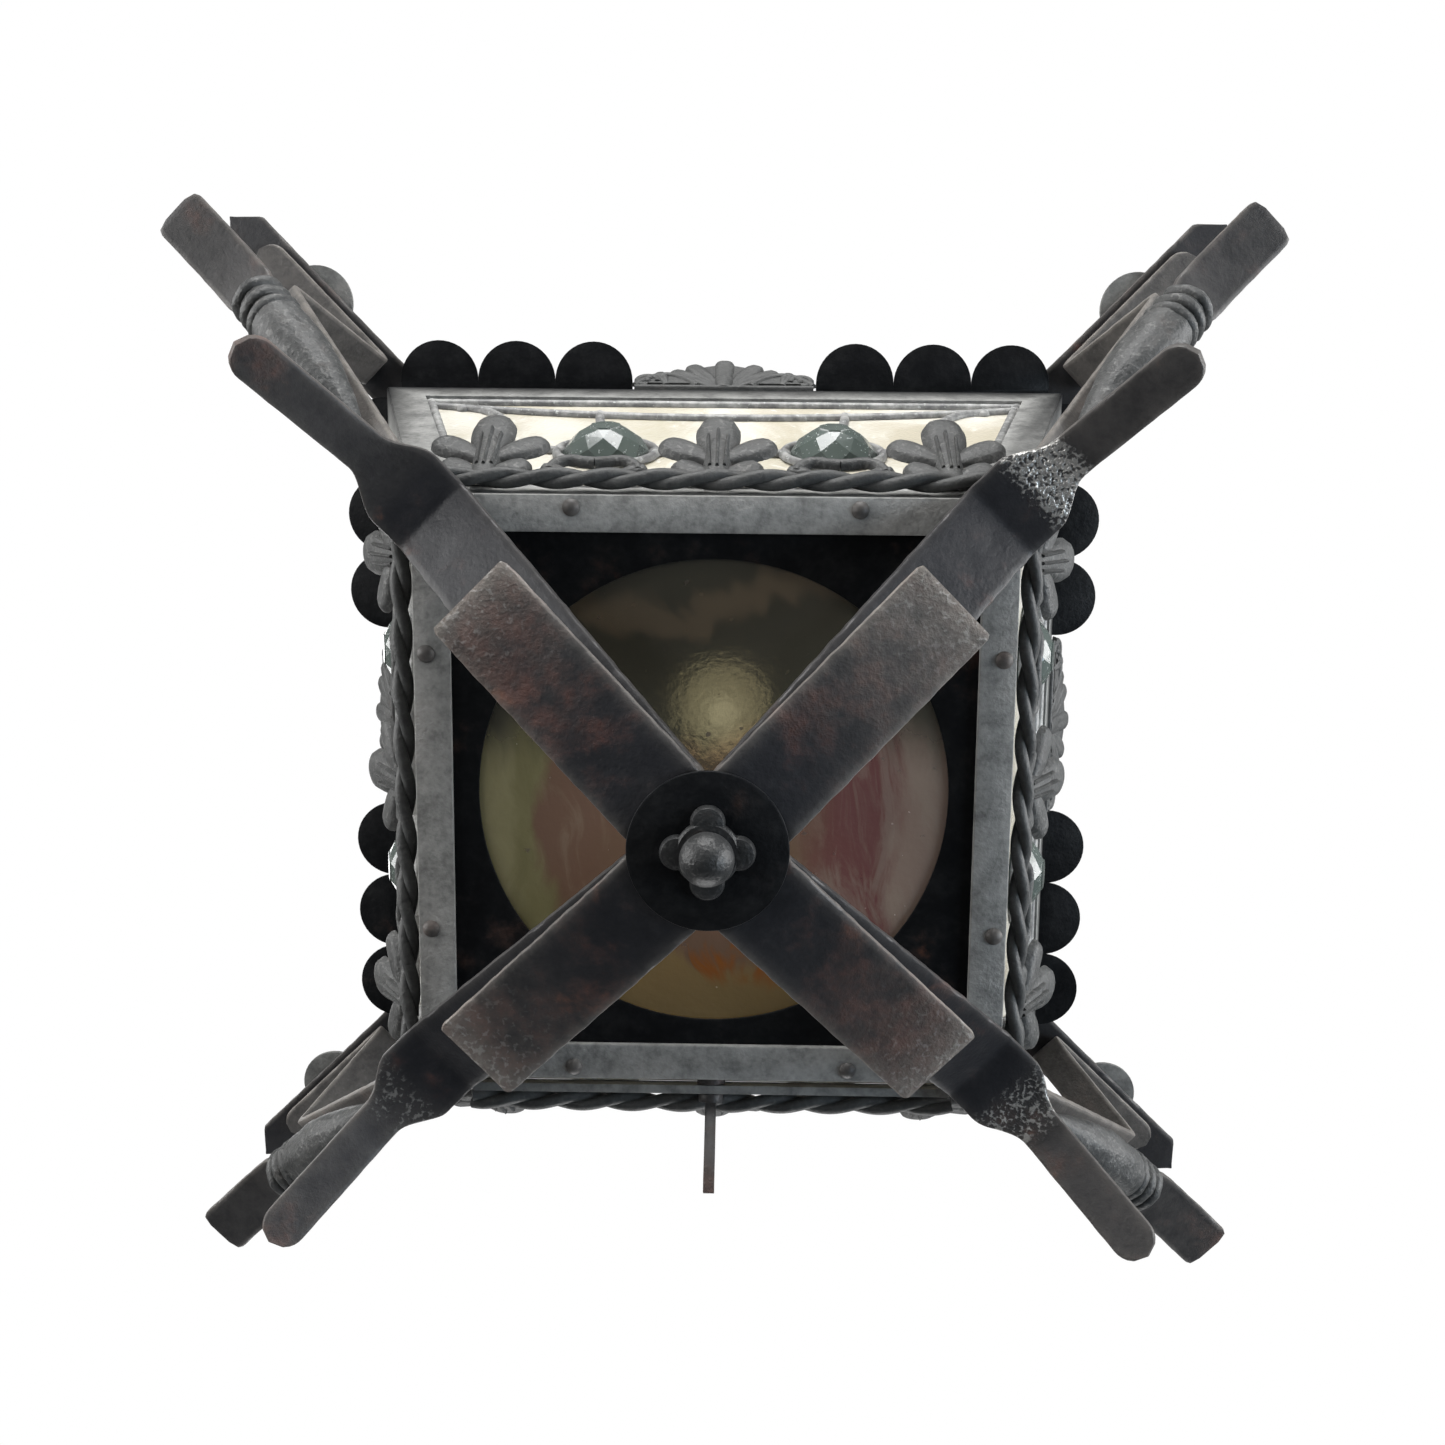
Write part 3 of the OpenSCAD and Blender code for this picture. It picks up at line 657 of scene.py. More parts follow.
class LANTERN_OT_hub(bpy.types.Operator):
    """Hub disc, lobed rosette, nut and ball finial"""
    bl_idname = "lantern.hub"
    bl_label = "Hub and finial"

    def execute(self, context):
        edge = context.scene.lantern_trim.edge
        # the hub disc keeps no rust, dust or bare metal, so it stays black: its black paint, and painted
        # shade of the recess at the hub
        bevelled("hub_disc", "lantern", "sheet_iron", edge * 1.2)
        bevelled("hub_nut", "lantern", "forged_iron", edge * 1.5)
        rose = Shape((0.0, 0.10, 0.12))
        lathe(rose, row, [(HUB_TOP - h, r) for h, r in (
            (2, 0.3), (2, 9.4), (2.4, 10), (4.6, 10), (5.4, 9.2), (5.45, 0.3))], 64)
        for k in range(4):
            a = math.radians(90 * k)

            def lobe(x, y, h, a=a):
                return row(9.3 * math.cos(a) + x, 9.3 * math.sin(a) + y, h)
            lathe(rose, lobe, [(HUB_TOP - h, r) for h, r in (
                (2, 0.2), (2, 5.4), (3.6, 5.4), (4.8, 4.7), (5.3, 3.2), (5.45, 1.2), (5.45, 0.2))], 40)
        rose.build("hub_rosette_form", "lantern", "cast_iron_black", ("hub_rosette",))
        ball = Shape((0.0, 0.12, 0.15))
        shank = [(BALL_Z + h, r) for h, r in (
            (20.4, 0.2), (20.4, 3.4), (19.8, 3.95), (6.4, 3.95), (6.05, 5.6))]
        round_part = [(BALL_Z + BALL_R * math.sin(t), max(0.1, BALL_R * math.cos(t)))
                      for t in [math.radians(43 - 133 * k / 22) for k in range(23)]]
        lathe(ball, row, shank + round_part, 64)
        ball.build("ball_finial_form", "lantern", "cast_iron_black", ("ball_finial",))
        return {"FINISHED"}


class LANTERN_OT_sheet_parts(bpy.types.Operator):
    """Bottom frame and plate, upper frame, eave, discs, collar, cap, latch and door frame"""
    bl_idname = "lantern.sheet_parts"
    bl_label = "Sheet and bar parts"

    def execute(self, context):
        edge = context.scene.lantern_trim.edge
        foot = row(0, 0, 0).z
        half = HALF * MM

        def frame_wear(p):
            corner = max(0.0, 1 - math.hypot(abs(p.x) - half, abs(p.y) - half) / 0.03)
            return 0.1 + 0.4 * corner, 0.1, 0.95

        def post_wear(p):
            low = max(0.0, 1 - (p.z - foot) / 0.05)
            return 0.1 * low, 0.1, 0.95 if p.z < foot + 0.163 else 0.0

        def tip_wear(p):
            return 1.0 if p.y < -0.131 else 0.3, 0.1, 0.3
        for node, body, width, wear in (
                ("bottom_frame", "lantern", 2.4, frame_wear),
                ("bottom_plate", "lantern", 0.6, (0.25, 0, 0)),
                ("upper_frame", "lantern", 1, post_wear),
                ("eave_plate", "lantern", 0.7, (0, 0, 0)),
                ("corner_discs", "lantern", 1, (0.05, 0, 0.5)),
                ("crown_collar", "lantern", 1, (0.1, 0, 0.2)),
                ("crown_cap", "lantern", 2, (0.1, 0, 0.2)),
                ("door_frame", "door", 1, (0.1, 0, 0.8)),
                ("latch", "turn_button", 1, tip_wear),
                ("frame_rivets", "lantern", 0.3, (0.2, 0, 0.5))):
            slot = "forged_iron" if node in ("latch", "frame_rivets") else "sheet_iron"
            bevelled(node, body, slot, edge * width, wear)
        return {"FINISHED"}


def rope_tree():
    """Node tree for a twisted rope along +Z."""
    tree = bpy.data.node_groups.new("Twisted rope", "GeometryNodeTree")
    face = tree.interface
    for name, kind, value in (("Length", "NodeSocketFloat", 0.2), ("Radius", "NodeSocketFloat", 0.004),
                              ("Pitch", "NodeSocketFloat", 0.033), ("Strands", "NodeSocketInt", 2)):
        item = face.new_socket(name, in_out="INPUT", socket_type=kind)
        item.default_value = value
    face.new_socket("Material", in_out="INPUT", socket_type="NodeSocketMaterial")
    face.new_socket("Geometry", in_out="OUTPUT", socket_type="NodeSocketGeometry")
    nodes, links = tree.nodes, tree.links
    src, out = nodes.new("NodeGroupInput"), nodes.new("NodeGroupOutput")

    def sum_of(op, a, b):
        node = nodes.new("ShaderNodeMath")
        node.operation = op
        for k, v in enumerate((a, b)):
            if isinstance(v, (int, float)):
                node.inputs[k].default_value = v
            else:
                links.new(v, node.inputs[k])
        return node.outputs[0]
    spiral = nodes.new("GeometryNodeCurveSpiral")
    spiral.inputs["Resolution"].default_value = 28
    links.new(sum_of("DIVIDE", src.outputs["Length"], src.outputs["Pitch"]), spiral.inputs["Rotations"])
    offset = sum_of("MULTIPLY", src.outputs["Radius"], 0.40)
    links.new(offset, spiral.inputs["Start Radius"])
    links.new(offset, spiral.inputs["End Radius"])
    links.new(src.outputs["Length"], spiral.inputs["Height"])
    ring = nodes.new("GeometryNodeCurvePrimitiveCircle")
    ring.inputs["Resolution"].default_value = 14
    links.new(sum_of("MULTIPLY", src.outputs["Radius"], 0.60), ring.inputs["Radius"])
    sweep = nodes.new("GeometryNodeCurveToMesh")
    sweep.inputs["Fill Caps"].default_value = True
    links.new(spiral.outputs["Curve"], sweep.inputs["Curve"])
    links.new(ring.outputs["Curve"], sweep.inputs["Profile Curve"])
    points = nodes.new("GeometryNodeMeshLine")
    points.inputs["Offset"].default_value = (0, 0, 0)
    links.new(src.outputs["Strands"], points.inputs["Count"])
    copies = nodes.new("GeometryNodeInstanceOnPoints")
    links.new(points.outputs["Mesh"], copies.inputs["Points"])
    links.new(sweep.outputs["Mesh"], copies.inputs["Instance"])
    index = nodes.new("GeometryNodeInputIndex")
    turn = nodes.new("ShaderNodeCombineXYZ")
    links.new(sum_of("MULTIPLY", index.outputs[0], sum_of("DIVIDE", math.tau, src.outputs["Strands"])),
              turn.inputs["Z"])
    links.new(turn.outputs[0], copies.inputs["Rotation"])
    real = nodes.new("GeometryNodeRealizeInstances")
    links.new(copies.outputs["Instances"], real.inputs[0])
    paint = nodes.new("GeometryNodeSetMaterial")
    links.new(real.outputs[0], paint.inputs["Geometry"])
    links.new(src.outputs["Material"], paint.inputs["Material"])
    links.new(paint.outputs[0], out.inputs[0])
    return tree


def rope_mesh(tree, material, length, cfg):
    """The rope of one wall as a plain mesh along +Z."""
    mesh = bpy.data.meshes.new("rope_seed")
    temp = bpy.data.objects.new("rope_seed", mesh)
    bpy.context.scene.collection.objects.link(temp)
    mod = temp.modifiers.new("rope", "NODES")
    mod.node_group = tree
    values = {"Length": length * MM, "Radius": cfg.rope_radius, "Pitch": cfg.rope_pitch,
              "Strands": cfg.rope_strands, "Material": material}
    for item in tree.interface.items_tree:
        if item.in_out == "INPUT" and item.name in values:
            mod[item.identifier] = values[item.name]
    deps = bpy.context.evaluated_depsgraph_get()
    made = bpy.data.meshes.new_from_object(temp.evaluated_get(deps))
    bpy.data.objects.remove(temp)
    return made


class LANTERN_OT_ropes(bpy.types.Operator):
    """A twisted rope moulding along the bottom of every wall"""
    bl_idname = "lantern.ropes"
    bl_label = "Rope mouldings"

    def execute(self, context):
        cfg = context.scene.lantern_trim
        tree = rope_tree()
        material = bpy.data.materials.get("lantern_cast_iron_black")
        for side, name, node, body, face in each_wall():
            v, trim = (19.0, 20.0) if body == "door" else (6.0, 3.0)
            length = 2 * (half_at(v) - trim) - 0.4
            mesh = rope_mesh(tree, material, length, cfg)
            place = on_wall(side)
            for p in mesh.vertices:
                x, y, z = p.co / MM
                p.co = place(z - length / 2, v + x, face + 4 + y)
            tag(mesh, [(0.1, 0.1, 0.7)] * len(mesh.vertices))
            finish_piece(mesh, name + "_rope_form", body, "cast_iron_black", (node + "_rope",), sharp=60)
        return {"FINISHED"}


class LANTERN_OT_coronets(bpy.types.Operator):
    """Palmettes and trefoils that stand along the rope mouldings"""
    bl_idname = "lantern.coronets"
    bl_label = "Palmettes"

    def execute(self, context):
        h = context.scene.lantern_trim.petal_height / MM
        tip = math.radians(16)
        for side, name, node, body, face in each_wall():
            v0 = 28.0 if body == "door" else 15.0
            wall = on_wall(side)
            shape = Shape((0.1, 0.15, 0.75))

            def stand(u0, lift, wall=wall, v0=v0, face=face):
                def place(x, y, z):
                    return wall(u0 + x, v0 + lift + y * math.cos(tip) - z * math.sin(tip),
                                face + 2 + y * math.sin(tip) + z * math.cos(tip))
                return place
            for u0 in (-83, 0, 83):
                place = stand(u0, 0)
                for s in (1, -1):
                    petal(shape, place, (s * 1.5, -1.5), (s * 16.2, 7), 3.0, 5.6, h * 1.1, 0.06)
                    petal(shape, place, (s * 1.2, 10), (s * 21, 22.5), 3.0, 6.4, h * 1.15, 0.06)
                    run(shape, place, [(s * 2.6, 3), (s * 3.6, 24)], 2.0, h * 1.55)
                petal(shape, place, (0, 6), (0, 40.4), 4.6, 8.3, h * 1.25, 0.05)
                petal(shape, place, (0, -3.6), (0, 24), 4.8, 5.4, h * 1.35, 0.0)
                run(shape, place, [(0, 2), (0, 27)], 2.0, h * 1.75)
                run(shape, place, [(-4.6, -3.4), (4.6, -3.4)], 3.2, h, 0)
            for u0 in (-44, 44):
                place = stand(u0, 1)
                for s in (1, -1):
                    hump = [(s * x, y) for x, y in arc(8.4, 1.5, 7.4, 0, 120, 10)] + [(0, 7.4)]
                    run(shape, place, hump, 4.4, h * 1.1)
                    petal(shape, place, (s * 10, 1), (s * 19.4, 3.4), 2.0, 3.2, h, 0.0)
                run(shape, place, [(-16.6, -1), (16.6, -1)], 2.4, h * 0.8, 0)
            shape.build(name + "_coronet_form", body, "cast_iron_black", (node + "_coronet",))
        return {"FINISHED"}


class LANTERN_OT_jewels(bpy.types.Operator):
    """Two faceted pressed-glass jewels in every wall"""
    bl_idname = "lantern.jewels"
    bl_label = "Jewels"

    def execute(self, context):
        n = context.scene.lantern_trim.jewel_facets
        # height, radius and whether the row is turned by half a facet
        rows = ((0.0, 17.0, 0), (0.4, 17.45, 0), (3.2, 17.45, 0), (3.8, 17.1, 0), (8.2, 14.4, 1),
                (11.8, 10.2, 0), (13.9, 6.2, 1), (14.45, 5.9, 1))
        for side, name, _, body, face in each_wall():
            wall = on_wall(side)
            shape = Shape()
            for s in (-1, 1):
                rings = []
                for h, r, half in rows:
                    turns = [math.tau * (j + half / 2) / n for j in range(n)]
                    rings.append([wall(s * JEWEL_U + r * math.cos(t), JEWEL_V + r * math.sin(t),
                                       face + GLASS_BACK + h) for t in turns])
                ids = [[shape.add(p) for p in ring] for ring in rings]
                for k, (a, b) in enumerate(zip(ids, ids[1:])):
                    step = rows[k + 1][2] - rows[k][2]
                    for j in range(n):
                        j1 = (j + 1) % n
                        if step == 0:
                            shape.faces.append((a[j], a[j1], b[j1], b[j]))
                        elif step == 1:
                            shape.faces += [(a[j], a[j1], b[j]), (a[j1], b[j1], b[j])]
                        else:
                            shape.faces += [(a[j], b[j1], b[j]), (a[j], a[j1], b[j1])]
                shape.faces.append(tuple(reversed(ids[0])))
                shape.faces.append(tuple(ids[-1]))
            node = "door_jewels" if body == "door" else "wall_jewels"
            shape.build(name + "_jewels_form", body, "jewel_glass", (node,), flat=True)
        return {"FINISHED"}


class LANTERN_OT_cames(bpy.types.Operator):
    """Half-round lead lines with solder at their joints"""
    bl_idname = "lantern.cames"
    bl_label = "Lead lines"

    def execute(self, context):
        lead, top = 4.0, 2.4
        for side, name, node, body, face in each_wall():
            v0, v1, inset = (18.3, 145.7, 30.3) if body == "door" else (12.3, WALL_LEN - 16.3, 16.3)
            base = face + GLASS_BACK + GLASS_THICK
            wall = on_wall(side)
            shape = Shape()

            def side_u(v):
                return half_at(v) - inset - 2.1
            border = [(-side_u(v0 + 2), v0 + 2), (side_u(v0 + 2), v0 + 2),
                      (side_u(v1 - 2), v1 - 2), (-side_u(v1 - 2), v1 - 2)]
            for a, b in zip(border, border[1:] + border[:1]):
                run(shape, wall, [a, b], lead, top, base)
                dome(shape, wall, a[0], a[1], 3.1, top + 0.15, base)
            su = half_at(v1 - 8) - inset - 2
            swag = [(su * k / 16, v1 - 26 + 18 * (abs(k) / 16) ** 2) for k in range(-16, 17)]
            run(shape, wall, swag, lead, top, base)
            run(shape, wall, [(-26, JEWEL_V), (26, JEWEL_V)], lead, top, base)
            for s in (-1, 1):
                ring = [(s * JEWEL_U + 19.2 * math.cos(t), JEWEL_V + 19.2 * math.sin(t))
                        for t in [math.tau * k / 40 for k in range(40)]]
                run(shape, wall, ring, 3.4, top + 0.15, base, closed=True)
                high, tie = (s * 52, v1 - 22), (s * side_u(JEWEL_V + 5), JEWEL_V + 5.5)
                run(shape, wall, [(s * 47, JEWEL_V + 18.5), high], lead, top, base)
                run(shape, wall, [(s * 62.5, JEWEL_V + 2), tie], lead, top, base)
                edge, lift = side_u(JEWEL_V) - 0.1, v1 - JEWEL_V - 18.5
                curl = [(s * (edge + 6 - 28 * math.cos(t)), JEWEL_V + 6 + lift * math.sin(t))
                        for t in [math.radians(a) for a in range(0, 91, 5)]]
                run(shape, wall, curl, lead, top, base)
                solder = [(s * 47, JEWEL_V + 19.5), high, (s * 25, JEWEL_V), (s * 62.5, JEWEL_V + 2), tie,
                          (s * su, v1 - 8), curl[-1]]
                for x, y in solder:
                    dome(shape, wall, x, y, 3.0, top + 0.25, base, 4, 16)
            shape.build(name + "_came_form", body, "lead_came", (node + "_came",))
        return {"FINISHED"}


class LANTERN_OT_ornaments(bpy.types.Operator):
    """Cast leaf ornament in the middle of each side of the eave"""
    bl_idname = "lantern.ornaments"
    bl_label = "Eave ornaments"

    def execute(self, context):
        tilt, foot_z = math.radians(62), 167
        shape = Shape((0.1, 0.1, 0.75))
        for side in range(4):
            turn = Matrix.Rotation(math.radians(90 * side), 3, "Z")

            def place(x, y, z, turn=turn):
                out = EAVE_HALF + 0.2 + y * math.cos(tilt) + z * math.sin(tilt)
                p = turn @ Vector((x, -out, 0))
                return row(p.x, p.y, foot_z + y * math.sin(tilt) - z * math.cos(tilt))
            for s in (1, -1):
                petal(shape, place, (s * 2, 2), (s * 16, 24.5), 2.0, 5.0, 2.3)
                petal(shape, place, (s * 2, 1.4), (s * 24.5, 18), 2.0, 4.8, 2.2)
                sweep = [(s * (12 + 28 * k / 12), 3 + 11 * math.sin(math.pi * k / 12) ** 0.8)
                         for k in range(13)]
                run(shape, place, sweep, 3.6, 2.2)
                curl = [(s * x, y) for x, y in arc(34.5, 8, 4.6, -90, 190, 14)]
                run(shape, place, curl, 3.2, 2.0)
                dome(shape, place, s * 34.5, 8, 2.0, 2.3)
                petal(shape, place, (s * 26, 5), (s * 30, 16.6), 1.6, 3.4, 2.2)
            rise = [(x, 12.5 + 12 * max(0.0, 1 - (x / 21) ** 2) - 4 * max(0.0, abs(x) / 40 - 0.7) / 0.3)
                    for x in range(-40, 41, 2)]
            shape.rings([[place(x, y, z) for y, z in ((5.5, 0), (top, 0), (top, 1.2), (5.5, 1.2))]
                         for x, top in rise])
            petal(shape, place, (0, 1), (0, 29.4), 3.0, 5.2, 2.5)
            petal(shape, place, (0, 0.6), (0, 14), 4.0, 5.2, 2.5, 0.0)
            run(shape, place, [(-40, 1.0), (40, 1.0)], 2.8, 2.2, 0)
            corners = ((-39.8, -151.5), (39.8, -151.5), (39.8, -150.1), (-39.8, -150.1))
            foot = [turn @ Vector((x, y, 0)) for x, y in corners]
            shape.rings([[row(p.x, p.y, z) for p in foot] for z in (165.7, 171.5)])
        shape.build("eave_ornaments_form", "lantern", "cast_iron_black", ("eave_ornaments",))
        return {"FINISHED"}


class LANTERN_OT_roof(bpy.types.Operator):
    """Roof sheets with standing seams and a rolled rim on the cap"""
    bl_idname = "lantern.roof"
    bl_label = "Roof"

    def execute(self, context):
        edge = context.scene.lantern_trim.edge
        bevelled("roof", "lantern", "sheet_iron", edge, (0.3, 0.0, 0.16))
        shape = Shape((0.3, 0.0, 0.22))
        slope_len = math.hypot(ROOF_RUN, ROOF_RISE)
        cs, sn = ROOF_RUN / slope_len, ROOF_RISE / slope_len
        for side in range(4):
            turn = Matrix.Rotation(math.radians(90 * side), 3, "Z")

            def place(u, v, w, turn=turn):
                p = turn @ Vector((u, -(EAVE_HALF - v * cs + w * sn), 0))
                return row(p.x, p.y, EAVE_TOP + v * sn + w * cs)
            for k in (-1, 0, 1):
                foot, head = k * 62, k * 20
                run(shape, place, [(foot, 1.5), (head, slope_len - 1.5)], 3.0, 2.2, -0.2)
            run(shape, place, [(-146, 1.4), (146, 1.4)], 2.6, 1.6, -0.2)
            run(shape, place, [(-40, slope_len - 1.6), (40, slope_len - 1.6)], 2.6, 1.4, -0.2)
        shape.build("roof_seams", "lantern", "sheet_iron")
        return {"FINISHED"}


class LANTERN_OT_hanging(bpy.types.Operator):
    """The eye on the cap and the ring through it"""
    bl_idname = "lantern.hanging"
    bl_label = "Eye and ring"

    def execute(self, context):
        x, y, z = Vector((1, 0, 0)), Vector((0, 1, 0)), Vector((0, 0, 1))
        wire, eye_r, ring_r = 4, 13, 32
        eye = Shape()
        torus(eye, row(0, 0, 378), x, z, y, eye_r, wire)
        lathe(eye, row, [(350, 0.3), (350, 9), (352.6, 9), (354, 7.6), (355, 5.6), (358, 5.2), (366.5, 5.4),
                         (366.6, 0.3)], 48)
        eye.build("hanging_eye_form", "lantern", "forged_iron", ("hanging_eye",))
        ring = Shape()
        torus(ring, row(0, 0, HANG + wire - ring_r), y, z, x, ring_r, wire, 128, 28)
        ring.build("hanging_ring_form", "ring", "forged_iron", ("hanging_ring",))
        return {"FINISHED"}


class LANTERN_OT_lamp(bpy.types.Operator):
    """Frosted lamp and its holder"""
    bl_idname = "lantern.lamp"
    bl_label = "Lamp"

    def execute(self, context):
        bulb = Shape()
        r, middle = 22.5, 215.0
        prof = [(middle - r * math.cos(t), max(0.2, r * math.sin(t)))
                for t in [math.radians(142 * k / 40) for k in range(41)]]
        prof += [(middle + h, neck) for h, neck in ((22, 12.8), (27, 12.5), (38.4, 12.5), (38.45, 0.2))]
        lathe(bulb, row, prof, 64)
        bulb.build("lamp_bulb_form", "lantern", "frosted_bulb", ("lamp_bulb",))
        holder = Shape()
        mouth, r, tube_end = 253.5, 17, 303.9
        prof = [(mouth, 0.3), (mouth, r - 1), (mouth + 0.8, r)]
        for k in range(5):
            groove = mouth + 3 + 4 * k
            prof += [(groove, r), (groove + 1, r - 0.8), (groove + 2.5, r - 0.8), (groove + 3.4, r)]
        prof += [(mouth + 31, r), (mouth + 34, 12), (mouth + 34.2, 5), (tube_end, 5), (tube_end, 0.3)]
        lathe(holder, row, prof, 56)
        holder.build("lamp_socket_form", "lantern", "socket_black", ("lamp_socket",))
        return {"FINISHED"}


# ---------------------------------------------------------------- finishes

class Nodes:
    """Short ways to add and join shader nodes."""

    def __init__(self, tree):
        self.t = tree

    def add(self, kind, inputs=None, **props):
        node = self.t.nodes.new(kind)
        for k, v in props.items():
            setattr(node, k, v)
        for k, v in (inputs or {}).items():
            if isinstance(v, bpy.types.NodeSocket):
                self.t.links.new(v, node.inputs[k])
            else:
                node.inputs[k].default_value = v
        return node

    def noise(self, vec, scale, detail=4.0, rough=0.55, distort=0.0):
        return self.add("ShaderNodeTexNoise", {"Vector": vec, "Scale": scale, "Detail": detail,
                                               "Roughness": rough, "Distortion": distort}).outputs["Fac"]

    def math(self, op, a, b=0.0, c=None, clamp=False):
        ins = {0: a, 1: b}
        if c is not None:
            ins[2] = c
        return self.add("ShaderNodeMath", ins, operation=op, use_clamp=clamp).outputs[0]

    def band(self, value, low, high):
        """0 below low, 1 above high, smooth between."""
        return self.add("ShaderNodeMapRange", {"Value": value, "From Min": low, "From Max": high},
                        interpolation_type="SMOOTHSTEP", clamp=True).outputs[0]

    def mix(self, fac, a, b):
        node = self.add("ShaderNodeMix", {0: fac}, data_type="RGBA", clamp_factor=True)
        for k, v in ((6, a), (7, b)):
            if isinstance(v, bpy.types.NodeSocket):
                self.t.links.new(v, node.inputs[k])
            else:
                node.inputs[k].default_value = (*v[:3], 1.0)
        return node.outputs[2]

    def mapped(self, vec, scale=(1, 1, 1), turn=(0, 0, 0), shift=(0, 0, 0)):
        return self.add("ShaderNodeMapping", {"Vector": vec, "Scale": scale, "Rotation": turn,
                                              "Location": shift}).outputs[0]

    def bump(self, height, distance, strength=1.0, normal=None):
        ins = {"Height": height, "Distance": distance, "Strength": strength}
        if normal is not None:
            ins["Normal"] = normal
        return self.add("ShaderNodeBump", ins).outputs[0]


def patina_group():
    """Masks for worn black iron: rust, dust with painted light, bare metal, height and tone."""
    tree = bpy.data.node_groups.new("Iron patina", "ShaderNodeTree")
    face = tree.interface
    for name in ("Vector", "Finish"):
        face.new_socket(name, in_out="INPUT", socket_type="NodeSocketVector")
    for name, value in (("Rust", 0.5), ("Dust", 0.5)):
        face.new_socket(name, in_out="INPUT", socket_type="NodeSocketFloat").default_value = value
    for name in ("Rust mask", "Dust mask", "Bare mask", "Height", "Tone"):
        face.new_socket(name, in_out="OUTPUT", socket_type="NodeSocketFloat")
    k = Nodes(tree)
    src, out = tree.nodes.new("NodeGroupInput"), tree.nodes.new("NodeGroupOutput")
    vec = src.outputs["Vector"]
    parts = k.add("ShaderNodeSeparateXYZ", {0: src.outputs["Finish"]})
    worn, raw, grey = parts.outputs
    big, mid, fine = k.noise(vec, 22, 5), k.noise(vec, 90, 6, 0.65), k.noise(vec, 420, 3, 0.6)
    specks = k.noise(vec, 900, 2, 0.5)
    mixed = k.math("MULTIPLY_ADD", mid, 0.5, k.math("MULTIPLY", big, 0.5))
    reach = k.math("MULTIPLY_ADD", worn, 0.27, k.math("MULTIPLY_ADD", src.outputs["Rust"], 0.10, mixed))
    rust = k.band(reach, 0.60, 0.80)
    soft = k.math("MULTIPLY_ADD", fine, 0.35, k.math("MULTIPLY", mid, 0.75))
    lying = k.math("MULTIPLY", k.band(soft, 0.46, 0.80), src.outputs["Dust"])
    # mask from the third finish value: dust, and on the straps painted highlights along the edges and
    # painted light on the foot straps' free ends
    dust = k.math("MULTIPLY", grey, k.math("MULTIPLY_ADD", k.band(soft, 0.30, 0.72), 0.55, 0.38))
    dust = k.math("MAXIMUM", dust, k.math("MULTIPLY", lying, 0.5))
    warp = k.add("ShaderNodeTexNoise", {"Vector": vec, "Scale": 260.0, "Detail": 3.0}).outputs["Color"]
    bent = k.add("ShaderNodeVectorMath", {0: warp, 1: (0.004, 0.004, 0.004), 2: vec},
                 operation="MULTIPLY_ADD").outputs[0]
    scabs = k.add("ShaderNodeTexVoronoi", {"Vector": bent, "Scale": 520.0}).outputs["Distance"]
    rough = k.math("MULTIPLY_ADD", scabs, 0.50, k.math("MULTIPLY", specks, 0.55))
    flakes = k.band(k.math("MULTIPLY_ADD", raw, 0.24, rough), 0.62, 0.80)
    bare = k.math("MULTIPLY", flakes, k.band(raw, 0.04, 0.5))
    pits = k.math("MULTIPLY", k.math("SUBTRACT", fine, 0.5), k.math("MULTIPLY_ADD", rust, 1.4, 0.35))
    deep = k.math("MULTIPLY", k.math("MULTIPLY", rough, raw), 3.0)
    height = k.math("ADD", pits, k.math("MULTIPLY", specks, 0.15))
    height = k.math("ADD", k.math("MULTIPLY", mid, 0.8), height)
    height = k.math("ADD", height, deep)
    tone = k.math("MULTIPLY_ADD", specks, 0.4, k.math("MULTIPLY", mid, 0.6))
    for name, sock in (("Rust mask", rust), ("Dust mask", dust), ("Bare mask", bare), ("Height", height),
                       ("Tone", tone)):
        tree.links.new(sock, out.inputs[name])
    return tree


def streak_group():
    """Drawn-out swirls for opal and slag glass."""
    tree = bpy.data.node_groups.new("Glass streaks", "ShaderNodeTree")
    face = tree.interface
    face.new_socket("Vector", in_out="INPUT", socket_type="NodeSocketVector")
    face.new_socket("Scale", in_out="INPUT", socket_type="NodeSocketFloat").default_value = 12.0
    for name in ("Streak", "Fine", "Cloud", "Ripple"):
        face.new_socket(name, in_out="OUTPUT", socket_type="NodeSocketFloat")
    k = Nodes(tree)
    src, out = tree.nodes.new("NodeGroupInput"), tree.nodes.new("NodeGroupOutput")
    vec = k.add("ShaderNodeVectorMath", {0: src.outputs["Vector"], "Scale": src.outputs["Scale"]},
                operation="SCALE").outputs[0]
    warp = k.add("ShaderNodeTexNoise", {"Vector": vec, "Scale": 0.55, "Detail": 3.0}).outputs["Color"]
    bent = k.add("ShaderNodeVectorMath", {0: warp, 1: (1.1, 1.1, 1.1), 2: vec},
                 operation="MULTIPLY_ADD").outputs[0]
    streak = k.noise(k.mapped(bent, (1.0, 0.28, 1.0)), 1.0, 6, 0.6, 0.6)
    fine = k.noise(k.mapped(bent, (4.2, 0.8, 4.2)), 1.0, 6, 0.65, 0.9)
    cloud = k.noise(vec, 0.7, 4, 0.5, 0.3)
    ripple = k.noise(bent, 2.4, 3, 0.5, 0.4)
    for name, sock in (("Streak", streak), ("Fine", fine), ("Cloud", cloud), ("Ripple", ripple)):
        tree.links.new(sock, out.inputs[name])
    return tree


def material(name):
    """A new finish: its node helper, shader and object coordinates."""
    mat = bpy.data.materials.new("lantern_" + name)
    mat.use_nodes = True
    tree = mat.node_tree
    tree.nodes.clear()
    k = Nodes(tree)
    out = k.add("ShaderNodeOutputMaterial")
    shader = k.add("ShaderNodeBsdfPrincipled")
    tree.links.new(shader.outputs[0], out.inputs["Surface"])
    vec = k.add("ShaderNodeTexCoord").outputs["Object"]
    return k, shader, vec


